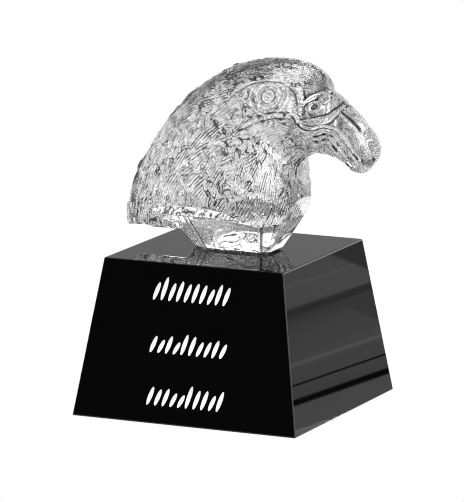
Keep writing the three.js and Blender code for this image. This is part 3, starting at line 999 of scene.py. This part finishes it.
# %% [markdown]
# ### Height of the feathers
#
# Chance makes each feather a little different, but it has to be the same each time the script runs, so
# it comes from a fixed sine of the feather's row and number.

# %% Height of the feathers
def scatter(a, b, seed):
    """A fixed random number from 0 to 1 for each pair."""
    return np.mod(np.sin(a * 127.1 + b * 311.7 + seed * 74.7) * 43758.5453, 1.0)


def smoothstep(value, low, high):
    t = np.clip((value - low) / (high - low), 0, 1)
    return t * t * (3 - 2 * t)


def barb_height(row, feather, travelled, across, reach, fineness):
    """Depth of the barbs that score one feather, in a cluster of its own turn, bend and strength."""
    turn = BARB_TURN * (scatter(row, feather, 2) - 0.5)
    along_mm = travelled * row_length
    across_mm = across * LANE_WIDTH + BARB_BEND * (scatter(row, feather, 6) - 0.5) * travelled ** 2
    phase = (across_mm * np.cos(turn) - along_mm * np.sin(turn)) / BARB_PITCH + scatter(row, feather, 3)
    from_barb = (np.mod(phase, 1.0) - 0.5) * BARB_PITCH
    cluster = smoothstep(scatter(row, feather, 5), 0.35, 0.95)
    heavy = scatter(np.floor(phase), row * 13 + feather, 7) ** 1.5
    reached = smoothstep(travelled, 0.15, 0.4) * smoothstep(reach - travelled, 0.05, 0.3)
    strength = fineness * (0.16 + reached * (0.25 + 1.1 * cluster) * (0.3 + 1.2 * heavy))
    return BARB_DEPTH * strength * np.exp(-(from_barb / BARB_WIDTH) ** 2)


def feather_height(flow, share, fineness):
    """Height in millimetres of the uppermost feather at a distance along the flow and a share round."""
    position = (flow - first_row) / row_length
    height = np.full(flow.shape, np.nan)
    for back in (3, 2, 1, 0):
        row = np.floor(position) - back
        lane = share * LANES + 0.5 * np.mod(row, 2)
        feather = np.mod(np.floor(lane), LANES)
        across = lane - np.floor(lane) - 0.5
        tip = TIP_LENGTH * (1 - (2 * np.abs(across)) ** TIP_ROUNDNESS)
        reach = 1 + tip + TIP_CHANCE * (scatter(row, feather, 1) - 0.5)
        travelled = position - row
        lift = FEATHER_LIFT * travelled / (1 + TIP_LENGTH) * (0.8 + 0.4 * scatter(row, feather, 4))
        arch = FEATHER_CAMBER * (2 * across) ** 2
        barbs = barb_height(row, feather, travelled, across, reach, fineness)
        value = smoothstep(reach - travelled, 0, 0.12) * (lift - arch - barbs)
        height = np.where(np.isnan(height) & (travelled <= reach), value, height)
    return np.nan_to_num(height)


flow_sample = np.linspace(first_row, flow_length[-1], 200)
feather_sample = feather_height(*np.meshgrid(flow_sample, np.arange(0, 0.5, 0.001)), 1.0)
print("feathers from", round(feather_sample.min(), 2), "to", round(feather_sample.max(), 2), "mm")

# %% [markdown]
# ## The face
#
# The carving of the face is a set of lines and rounds drawn in the side view, each raised or sunk by its
# own profile. It could be sculpted with a brush, but a line and a profile can be measured and moved. Each
# form gives two things: its height, and a tint of painted light and shade, which draws its ridges as
# painted highlights and its grooves as painted dark lines, and lightens a few places.

# %% Lines of the face
EYE = (23.9, 67.5)
BROW = [(5.5, 66.1), (10.2, 70.4), (17, 73.4), (25, 74.3), (31, 73), (35, 69.6), (36.6, 65)]
CERE_FLANGE = [(35.4, 57.4), (38.6, 57.3), (42.2, 57.5), (45.4, 58.2), (48.2, 60.8), (50.6, 64)]
CERE_TOP = [(37.6, 65.2), (40.2, 67.2), (43.4, 68.6)]
CERE_MIDDLE = (41.5, 62.5)
CERE_KNOB = (43.3, 66.0)
NOSTRIL = (40.8, 63.2)
LORE_BOSS = (33.3, 62.8)
CULMEN = [(49.7, 61.1), (55.2, 57), (59.5, 52), (62.6, 44.5)]
MOUTH = [(33.2, 60.2), (36.6, 55), (40.4, 53.8), (44.1, 54.6), (48.3, 53.4), (52, 49.2), (57.2, 42.4)]
CHEEK = [(14.3, 55.4), (20.1, 58.2), (26.2, 59.9), (33.2, 60.2)]
CROWN = [(2, 70.8), (7, 73.7), (12, 75.9), (17, 77.3), (22, 78.0), (27, 77.9), (31, 76.7)]


def smooth_line(points, per_span=8):
    """A Catmull-Rom line through points, as a list of short spans."""
    p = np.array(points, float)
    p = np.vstack([2 * p[0] - p[1], p, 2 * p[-1] - p[-2]])
    out = []
    for i in range(1, len(p) - 2):
        for t in np.arange(per_span) / per_span:
            a, b, c, d = p[i - 1:i + 3]
            out.append(0.5 * (2 * b + (c - a) * t + (2 * a - 5 * b + 4 * c - d) * t ** 2
                              + (3 * b - a - 3 * c + d) * t ** 3))
    return np.array(out + [p[-2]])


for name, line in (("brow", BROW), ("mouth", MOUTH), ("culmen", CULMEN)):
    length = np.linalg.norm(np.diff(smooth_line(line), axis=0), axis=1).sum()
    print(name, round(length, 1), "mm long")

# %% [markdown]
# ### Distances on the face
#
# Every profile has to know how far a point is from its line, how far along the line that is, and on
# which side. All points are asked at once, span by span, which is quick with arrays.

# %% Distances on the face
def line_distance(x, h, points):
    """Distance to a line, the share of its length at the nearest point, and the side, above or below."""
    line = smooth_line(points)
    best = np.full(x.shape, 1e9)
    share = np.zeros(x.shape)
    side = np.zeros(x.shape)
    spans = len(line) - 1
    for i in range(spans):
        ax, ah = line[i]
        dx, dh = line[i + 1] - line[i]
        t = np.clip(((x - ax) * dx + (h - ah) * dh) / (dx * dx + dh * dh), 0, 1)
        off_x, off_h = x - ax - t * dx, h - ah - t * dh
        distance = np.hypot(off_x, off_h)
        nearer = distance < best
        best = np.where(nearer, distance, best)
        share = np.where(nearer, (i + t) / spans, share)
        side = np.where(nearer, np.sign(dx * off_h - dh * off_x), side)
    return best, share, side


def bump_at(distance, width):
    return np.exp(-(distance / width) ** 2)


def distance_to(x, h, point):
    return np.hypot(x - point[0], h - point[1])


print("eye to nostril", round(float(distance_to(*EYE, NOSTRIL)), 1), "mm")

# %% [markdown]
# ### Brow and eye
#
# The brow is a ridge that overhangs the eye. The eye is a round in a shallow hollow, with fine rings
# about it and one wider ring below.

# %% Brow and eye
EYE_RADIUS = 2.6


def brow_and_eye(x, h):
    """Height and painted light and shade of the brow's ridge, the hollow under it, and the eye with its
    rings.
    """
    from_eye = distance_to(x, h, EYE)
    brow, share, side = line_distance(x, h, BROW)
    height = 1.2 * bump_at(brow, 1.1) * (0.35 + 0.65 * smoothstep(share, 0, 0.15))
    height -= 0.7 * smoothstep(brow, 0.3, 2.0) * (1 - smoothstep(from_eye, 6.5, 10)) * (side < 0)
    height += np.sqrt(np.clip(1 - (from_eye / EYE_RADIUS) ** 2, 0, 1))
    height += 0.16 * bump_at(from_eye - 3.3, 0.35)
    height += 0.26 * bump_at(from_eye - 4.6, 0.4)
    height += 0.3 * bump_at(from_eye - 7.4, 0.5) * (h < EYE[1] + 3)
    # Painted highlight along the brow, and painted shade just beside it.
    painted_light_and_shade = 0.5 * bump_at(brow, 0.6) - 0.3 * bump_at(brow - 1.5, 0.35)
    return height, painted_light_and_shade


at_eye, _ = brow_and_eye(np.array(EYE[:1]), np.array(EYE[1:]))
print("eye stands", round(at_eye[0], 2), "mm proud")

# %% [markdown]
# ### Cere and nostril
#
# The cere is the bare skin at the root of the beak. A flange, widest at its middle, borders it below, a
# short ridge closes it above, and the nostril and a small knob are rings on it. The lore boss is the
# round between the cere and the eye.

# %% Cere and nostril
def flange_body(x, h):
    """Distance to the flange's line, its half width there, and how much of the flange is there."""
    flange, share, _ = line_distance(x, h, CERE_FLANGE)
    half = 0.35 + 1.15 * np.sin(np.pi * np.clip(share, 0, 1)) ** 1.5
    return flange, half, 1 - smoothstep(flange, half * 0.6, half * 1.1 + 0.2)


def cere_and_nostril(x, h):
    """Height and painted light and shade of the flange, the ridge above, the nostril, the knob and the
    lore boss.
    """
    flange, half, body = flange_body(x, h)
    ridge, _, _ = line_distance(x, h, CERE_TOP)
    nostril = distance_to(x, h, NOSTRIL)
    knob = distance_to(x, h, CERE_KNOB)
    boss = distance_to(x, h, LORE_BOSS)
    height = 0.9 * body + 0.8 * bump_at(ridge, 0.7)
    height += 0.5 * bump_at(nostril - 1.7, 0.5) + 0.45 * bump_at(knob - 1.2, 0.5)
    height += 0.8 * bump_at(boss, 1.3)
    # Painted highlights on the flange, the ridge, the rings and the lore boss, painted shade beside them,
    # and a painted lightening of the cere's middle.
    painted_light_and_shade = 0.8 * body - 0.5 * bump_at(flange - half - 0.6, 0.3)
    painted_light_and_shade += 0.4 * bump_at(ridge, 0.5) - 0.3 * bump_at(ridge - 1.3, 0.35)
    painted_light_and_shade += 0.6 * bump_at(nostril - 1.7, 0.4) - 0.45 * bump_at(nostril - 0.9, 0.3)
    painted_light_and_shade += 0.6 * bump_at(knob - 1.1, 0.4) - 0.5 * bump_at(knob - 2.0, 0.3)
    painted_light_and_shade += 0.4 * bump_at(boss, 1.2)
    painted_light_and_shade += 0.15 * (1 - smoothstep(distance_to(x, h, CERE_MIDDLE), 5, 8))
    return height, painted_light_and_shade


flange_half = flange_body(*smooth_line(CERE_FLANGE).T)[1]
print("flange up to", round(2 * flange_half.max(), 1), "mm wide")

# %% [markdown]
# ### Beak and mouth
#
# The beak's ridge, the culmen, ends in the hook. Its side is a little hollow. The mouth is a groove with
# a lip above it, and the lower mandible is set back under it and ribbed, with broken dashes of painted
# shade.

# %% Beak and mouth
RIB_PITCH = 2.1
MANDIBLE_DEPTH = 1.0


def beak_and_mouth(x, h):
    """Height and painted light and shade of the culmen, the beak's hollow side, the mouth and the ribbed
    mandible.
    """
    culmen, culmen_share, culmen_side = line_distance(x, h, CULMEN)
    mouth, mouth_share, mouth_side = line_distance(x, h, MOUTH)
    inside = np.where(culmen_side < 0, smoothstep(culmen, 0, 1.1), 0) * smoothstep(x, 48, 51)
    height = -0.55 * inside * (1 - smoothstep(culmen, 4.5, 7.5))
    height -= 0.5 * bump_at(mouth, 0.55)
    height += 0.45 * bump_at(mouth - 1.1, 0.5) * (mouth_side > 0)
    below = np.where(mouth_side < 0, smoothstep(mouth, 0.2, 1.0), 0)
    mandible = below * smoothstep(x, 38, 42) * (1 - smoothstep(x, 53, 57))
    ribs = 0.5 + 0.5 * np.cos(2 * np.pi * mouth / RIB_PITCH)
    height -= mandible * (MANDIBLE_DEPTH + 0.55 * ribs)
    dash = smoothstep(np.sin(mouth_share * 40) + 0.6 * np.sin(mouth_share * 23 + mouth * 2), 0.1, 0.5)
    # Painted shade: dashes between the ribs, the mouth's groove, the beak's side and the culmen's root;
    # painted highlights: the lip, a band beside the culmen and the hook.
    painted_light_and_shade = -0.55 * mandible * dash * (bump_at(mouth - 1.9, 0.4) + bump_at(mouth - 4.0, 0.4))
    painted_light_and_shade += 0.3 * bump_at(mouth - 1.1, 0.4) * (mouth_side > 0) - 0.3 * bump_at(mouth, 0.35)
    painted_light_and_shade -= 0.3 * inside * (1 - smoothstep(culmen, 5, 7)) * (mouth_side > 0)
    painted_light_and_shade -= 0.9 * bump_at(culmen, 0.4) * (1 - smoothstep(culmen_share, 0.45, 0.7))
    painted_light_and_shade += 0.6 * bump_at(culmen - 1.2, 0.4) * (culmen_side < 0)
    hook = smoothstep(culmen_share, 0.6, 0.75) * (1 - smoothstep(culmen_share, 0.9, 1))
    painted_light_and_shade += 0.5 * bump_at(culmen, 0.8) * hook
    return height, painted_light_and_shade


print("mandible set back by", MANDIBLE_DEPTH, "mm, ribs every", RIB_PITCH, "mm")

# %% [markdown]
# ### Crown and cheek
#
# A thin ridge follows the crown, and a line runs from the cheek to the corner of the mouth, both drawn
# with a painted highlight and painted shade beside it. The face is bare round the eye and in front, so
# the feathers end there, and the skin lines grow faint on the beak.

# %% Crown, cheek and the bare face
def crown_and_cheek(x, h):
    """Height and painted light and shade of the crown's ridge and the cheek's line."""
    cheek, _, _ = line_distance(x, h, CHEEK)
    ridge, share, _ = line_distance(x, h, CROWN)
    ends = smoothstep(share, 0, 0.2) * (1 - smoothstep(share, 0.8, 1))
    height = 0.6 * bump_at(cheek, 0.8) + 0.5 * bump_at(ridge, 0.7) * ends
    # Painted highlights along the crown's ridge and the cheek's line, with painted shade beside them.
    painted_light_and_shade = (0.8 * bump_at(ridge, 0.6) - 0.3 * bump_at(ridge - 1.5, 0.3)) * ends
    painted_light_and_shade += 0.45 * bump_at(cheek, 0.5) - 0.4 * bump_at(cheek - 1.3, 0.35)
    return height, painted_light_and_shade


def carved_face(x, h):
    """Height and painted light and shade of the face, and the shares of feathers and of skin lines left
    there.
    """
    forms = [form(x, h) for form in (brow_and_eye, cere_and_nostril, beak_and_mouth, crown_and_cheek)]
    height = sum(form[0] for form in forms)
    painted_light_and_shade = sum(form[1] for form in forms)
    from_eye = distance_to(x, h, EYE)
    brow, _, _ = line_distance(x, h, BROW)
    front = smoothstep(x, 33, 38)
    crown = smoothstep(h - 70 + (x - 30) * 0.2, 0, 3) * (1 - smoothstep(x, 40, 43))
    # Painted light: the crown is drawn lighter.
    painted_light_and_shade = painted_light_and_shade + 0.25 * crown
    feathers = smoothstep(from_eye, 7.6, 10.5) * (1 - front * (1 - crown)) * smoothstep(brow, 0.8, 2.2)
    texture = 1 - 0.6 * front * (1 - crown) - 0.3 * (1 - smoothstep(from_eye, 7.6, 9))
    texture *= (1 - 0.85 * flange_body(x, h)[2]) * (1 - 0.7 * smoothstep(x, 46, 50))
    return height, painted_light_and_shade, feathers, texture


side_x, side_h = np.meshgrid(np.arange(0, 65, 0.5), np.arange(40, 80, 0.5))
carving_sample = carved_face(side_x, side_h)[0]
print("face carved from", round(carving_sample.min(), 2), "to", round(carving_sample.max(), 2), "mm")

# %% [markdown]
# ## The carved head
#
# A pressed surface is never quite even, so soft waves of many lengths and ways are added to the carving.
# A displacement modifier on a texture could carve the form, but here every point moves outwards by its
# own height. The same height, less its mean round about, says how deep the point lies in a groove, and
# the tint of the crystal reads it as painted shade in grooves and painted highlights on ridges.

# %% Unevenness
WAVES = 18
WAVE_HEIGHT = 0.03
WAVE_LENGTHS = (3.5, 9.0)


def mould_waves(points):
    """The soft unevenness of a pressed surface: waves of many lengths and ways at once."""
    random = np.random.default_rng(11)
    total = np.zeros(points.shape[:-1])
    for _ in range(WAVES):
        way = random.normal(size=3)
        way /= np.linalg.norm(way)
        length = random.uniform(*WAVE_LENGTHS)
        phase = random.uniform(0, 2 * np.pi)
        total += np.sin(points @ way * 2 * np.pi / length + phase)
    return total * WAVE_HEIGHT


print(WAVES, "waves of", WAVE_HEIGHT, "mm,", WAVE_LENGTHS[0], "to", WAVE_LENGTHS[1], "mm long")

# %% [markdown]
# ### Grooves and ridges
#
# A groove is a place that lies deeper than its surroundings, so the mean of the heights round about is
# taken off, and the result is painted dark in a groove and painted bright on a ridge. The feathers of
# the far side are shallow, and their painted tint is drawn lighter with them.

# %% Grooves and ridges
RELIEF_SPAN = 0.35


def blurred(field, reach, axis):
    """Mean over a window along one axis, wrapping round the columns."""
    out = np.zeros_like(field)
    for step in range(-reach, reach + 1):
        if axis == 1:
            out += np.roll(field, step, axis=1)
        else:
            index = np.clip(np.arange(field.shape[0]) + step, 0, field.shape[0] - 1)
            out += field[index]
    return out / (2 * reach + 1)


def painted_groove_and_ridge(rise, share, fineness):
    """Painted shade at 0 in a groove, painted highlight at 1 on a ridge, 0.5 where level with what is
    round it.
    """
    local = rise - blurred(blurred(rise, 3, 1), 2, 0)
    level = 0.54 + 0.1 * (1 - fineness) / (1 - FAR_BARBS)
    nearer_nape = 1.4 - 0.4 * smoothstep(share, 0.02, 0.13)
    return np.clip(level + local / RELIEF_SPAN * fineness * nearer_nape, 0, 1)


print("the deepest and the highest tint lie", RELIEF_SPAN, "mm apart on the near side")

# %% [markdown]
# ### Points of the carving
#
# All heights come together here. The face's lines fade at the middle, where both sides meet, and the far
# side is carved half as deep, as the picture shows none of it.

# %% Points of the carving
FEATHER_SUNK = 0.1


def head_grid():
    """Distance and share along the flow, angle and share round, for every point of the grid."""
    face = np.arange(0, FACE_FLOW, FACE_STEP)[1:]
    flow = np.concatenate([face, np.arange(FACE_FLOW, flow_length[-1], NECK_STEP)])[:, None]
    along = np.interp(flow, flow_length, flow_along)
    around, share = column_angles()
    return np.broadcast_arrays(flow, along, around[None, :], share[None, :])


def outward(points):
    """The way out of the form at every point of the grid."""
    down = np.gradient(points, axis=0)
    over = (np.roll(points, -1, axis=1) - np.roll(points, 1, axis=1)) / 2
    normal = np.cross(over, down)
    return normal / np.maximum(np.linalg.norm(normal, axis=-1, keepdims=True), 1e-9)


def carved_points():
    """The grid moved out by its carving, and the two numbers of the crystal's painted light and shade."""
    flow, along, around, share = head_grid()
    smooth = form_points(along, around)
    x, y, h = np.moveaxis(smooth, -1, 0)
    carving, painted_light_and_shade, feathers, texture = carved_face(x, h)
    off_middle = smoothstep(np.abs(y), 0.5, 2.5)
    fineness = 1 - (1 - FAR_BARBS) * smoothstep(y, -1, 4)
    rise = carving * off_middle * (0.5 + 0.5 * (fineness - FAR_BARBS) / (1 - FAR_BARBS))
    rise += feathers * (feather_height(flow, share, fineness) - FEATHER_SUNK)
    rise += mould_waves(smooth) * (0.25 + 0.75 * feathers)
    rise *= smoothstep(flow, 0, 6)
    # Painted light and shade: the tint of grooves and ridges plus the face's painted lines.
    painted_highlight_and_shade = np.clip(painted_groove_and_ridge(rise, share, fineness) + painted_light_and_shade * fineness * off_middle, 0, 1)
    points = smooth + outward(smooth) * rise[..., None]
    return points, {"painted_highlight_and_shade": painted_highlight_and_shade.ravel(), "texture": (texture * fineness).ravel()}


grid_points, grid_fields = carved_points()
print("grid", grid_points.shape[0], "by", grid_points.shape[1], "points")

# %% [markdown]
# ### A closed skin
#
# Glass needs a closed surface, or light would come out of it without going in. The grid closes round the
# section by itself, and a fan of triangles closes each end.

# %% Closed skin of the head
def ring_faces(rings, columns):
    index = 1 + np.arange(rings)[:, None] * columns + np.arange(columns)[None, :]
    ahead = np.roll(index, -1, axis=1)
    return np.stack([index[:-1], index[1:], ahead[1:], ahead[:-1]], axis=-1).reshape(-1, 4)


def closed_skin(points):
    """The grid as an object, closed by a fan of triangles at the beak's pole and at the tail."""
    pole = [[BEAK_POLE[0], 0, BEAK_POLE[1]]]
    end = points[-1].mean(axis=0, keepdims=True)
    vertices = np.concatenate([pole, points.reshape(-1, 3), end]) * MM
    vertices[:, 2] += PLINTH_HEIGHT
    rings = len(points)
    faces = [tuple(face) for face in ring_faces(rings, COLUMNS).tolist()]
    last = 1 + (rings - 1) * COLUMNS
    for column in range(COLUMNS):
        ahead = (column + 1) % COLUMNS
        faces.append((0, 1 + column, 1 + ahead))
        faces.append((len(vertices) - 1, last + ahead, last + column))
    return object_from("eagle_head_crystal", vertices.tolist(), faces, [MOULDED_WITH_PAINTED_LIGHT, GROUND, SHADED_EDGE])


head = closed_skin(grid_points)
print("head before grinding", len(head.data.polygons), "faces")

# %% [markdown]
# ## Grinding
#
# The neck's lower part is ground on a wheel. Each ground facet is a plane: what lies beyond it is gone.
# Cutting the head plane by plane would be one way, but the ledge and the tail stand beside the facets.
# So we build the room that the grinding leaves, from a few convex blocks cut by those planes, and keep
# what the head and that room have in common. A plane has its turn, its reach from the middle and its
# flare, which is how much its reach grows with height.

# %% Ground planes
BREAST_PLANE = (0, 18.6, 0.54)
BREAST_CORNER = (54, 15.6, 0.75)
SIDE_PLANE = (90, 8.6, 0.69)
REAR_CORNER = (125, 12.5, 0.72)
REAR_PLANE = (180, 16, 0.78)
FOOT_BEVEL = 0.9
LEDGE_HEIGHT, LEDGE_FLARE = 15, 1
UNCUT_HEIGHT = 24.5
TAIL_LOWEST, TAIL_RISE = 5.8, 0.24
TAIL_FRONT = (0, -12.8, -0.81)
NECK_EDGE, LEDGE_EDGE, TAIL_EDGE = 1.7, 0.9, 0.8
STEEP_RISE = 2
EDGE_STRIPS = 5
EDGE_SHARPNESS = 0.25
OVERLAP = 1
SEAT_GAP = 0.04
FAR = 150


def both(plane):
    return [plane, (-plane[0], plane[1], plane[2])]


print("foot", round(REAR_PLANE[1] + BREAST_PLANE[1] - 2 * FOOT_BEVEL, 1), "mm long where it stands")

# %% [markdown]
# ### A block cut by planes
#
# A block starts as a box. Each plane cuts it, and the cut is filled, so the block stays closed. Then its
# edges are rounded, as the wheel and the polishing leave them.

# %% A block cut by planes
def cut_box(bottom, top, planes):
    """A box between two heights, cut by planes of turn, reach and flare."""
    shape = bmesh.new()
    bmesh.ops.create_cube(shape, size=1)
    for vertex in shape.verts:
        vertex.co.x *= 2 * FAR
        vertex.co.y *= 2 * FAR
        vertex.co.z = bottom if vertex.co.z < 0 else top
    for turn, reach, flare in planes:
        way = Vector((math.cos(math.radians(turn)), math.sin(math.radians(turn)), 0))
        cut = bmesh.ops.bisect_plane(
            shape, geom=shape.verts[:] + shape.edges[:] + shape.faces[:], dist=1e-6,
            plane_co=way * reach, plane_no=(way - Vector((0, 0, flare))).normalized(), clear_outer=True,
        )
        edges = [item for item in cut["geom_cut"] if isinstance(item, bmesh.types.BMEdge)]
        bmesh.ops.contextual_create(shape, geom=edges)
    bmesh.ops.recalc_face_normals(shape, faces=shape.faces[:])
    return shape


def rise_of(edge):
    return abs(edge.verts[0].co.z - edge.verts[1].co.z)


def break_edges(shape, width, least_rise):
    """Rounds the steeper edges, and gives the foot's bevel and the outermost strips the matt finish with
    its painted shade.
    """
    flat_ways = [face.normal.copy() for face in shape.faces]
    broken = []
    if width:
        edges = [edge for edge in shape.edges if rise_of(edge) > least_rise]
        broken = bmesh.ops.bevel(
            shape, geom=edges, offset=width, segments=EDGE_STRIPS, profile=0.5, affect="EDGES"
        )["faces"]
    shape.normal_update()
    # Painted shade: the foot's bevel takes the dark edge finish, for the dark gap where the foot stands
    # on the plinth.
    for face in shape.faces:
        face.material_index = 2 if face.calc_center_median().z < FOOT_BEVEL else 1
    # The outermost strips of a rounded edge take it too, as painted dark lines along the edge.
    for face in broken:
        nearest, next_nearest = sorted(face.normal.angle(way) for way in flat_ways)[:2]
        if nearest < EDGE_SHARPNESS * next_nearest:
            face.material_index = 2


def block(name, bottom, top, planes, edge_width, least_rise=-1):
    """A cut box as an object above the plinth, with its edges broken."""
    shape = cut_box(bottom, top, planes)
    break_edges(shape, edge_width, least_rise)
    mesh = bpy.data.meshes.new(name)
    shape.to_mesh(mesh)
    shape.free()
    mesh.transform(Matrix.Translation((0, 0, PLINTH_HEIGHT + SEAT_GAP * MM)) @ Matrix.Scale(MM, 4))
    made = bpy.data.objects.new(name, mesh)
    bpy.context.collection.objects.link(made)
    for material in (MOULDED_WITH_PAINTED_LIGHT, GROUND, SHADED_EDGE):
        mesh.materials.append(material)
    print(name, len(mesh.polygons), "faces")
    return made

# %% [markdown]
# ### The room for the head
#
# Four blocks make the room: the ground neck with its foot, the ledge above the side planes, the tail's
# underside, and everything above. The foot's planes come once more, tilted, as its polished bevel, which
# takes the dark edge finish as painted shade where the foot stands on the plinth.

# %% The room that grinding leaves
def ground_room():
    foot_planes = [BREAST_PLANE, REAR_PLANE]
    for plane in (BREAST_CORNER, SIDE_PLANE, REAR_CORNER):
        foot_planes += both(plane)
    foot_planes += [(turn, reach - FOOT_BEVEL, flare + 1) for turn, reach, flare in foot_planes]
    ledge_reach = SIDE_PLANE[1] + (SIDE_PLANE[2] - LEDGE_FLARE) * LEDGE_HEIGHT
    ledge_planes = [BREAST_PLANE] + both(BREAST_CORNER) + both((90, ledge_reach, LEDGE_FLARE))
    tail_planes = [TAIL_FRONT] + both((90, -TAIL_LOWEST / TAIL_RISE, 1 / TAIL_RISE))
    top = UNCUT_HEIGHT + OVERLAP
    room = block("ground_room", 0, UNCUT_HEIGHT, foot_planes, NECK_EDGE, STEEP_RISE)
    boolean(room, block("ledge", LEDGE_HEIGHT, top, ledge_planes, LEDGE_EDGE), "UNION")
    boolean(room, block("tail_room", TAIL_LOWEST, top, tail_planes, TAIL_EDGE), "UNION")
    boolean(room, block("upper_room", UNCUT_HEIGHT, FAR, [], 0), "UNION")
    return room


def triangle_count(target):
    target.data.calc_loop_triangles()
    return len(target.data.loop_triangles)


boolean(head, ground_room(), "INTERSECT")
print("head after grinding", triangle_count(head), "triangles")

# %% [markdown]
# ### Thinning and the numbers of the painted tint
#
# The cut head is finer than it has to be, so it is thinned to just under its limit of triangles. Cutting
# and thinning make new points, and each takes the numbers of its painted tint from the nearest point of
# the grid. The moulded skin is smooth, and the ground facets are flat.

# %% The finished head
TRIANGLE_LIMIT = 196000


def store_fields(target, places, fields):
    """Each vertex takes the values of the nearest point of the grid it was cut from."""
    finder = kdtree.KDTree(len(places))
    for i, place in enumerate(places):
        finder.insert(place, i)
    finder.balance()
    base = Vector((0, 0, PLINTH_HEIGHT))
    nearest = [finder.find((vertex.co - base) / MM)[1] for vertex in target.data.vertices]
    for name, values in fields.items():
        layer = target.data.attributes.new(name, "FLOAT", "POINT")
        layer.data.foreach_set("value", values[nearest])


applied(head, "DECIMATE", ratio=min(1.0, TRIANGLE_LIMIT / triangle_count(head)))
store_fields(head, grid_points.reshape(-1, 3), grid_fields)
for polygon in head.data.polygons:
    polygon.use_smooth = polygon.material_index == 0
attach(head, "root")
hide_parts("eagle_head")
print("head finished", triangle_count(head), "triangles")
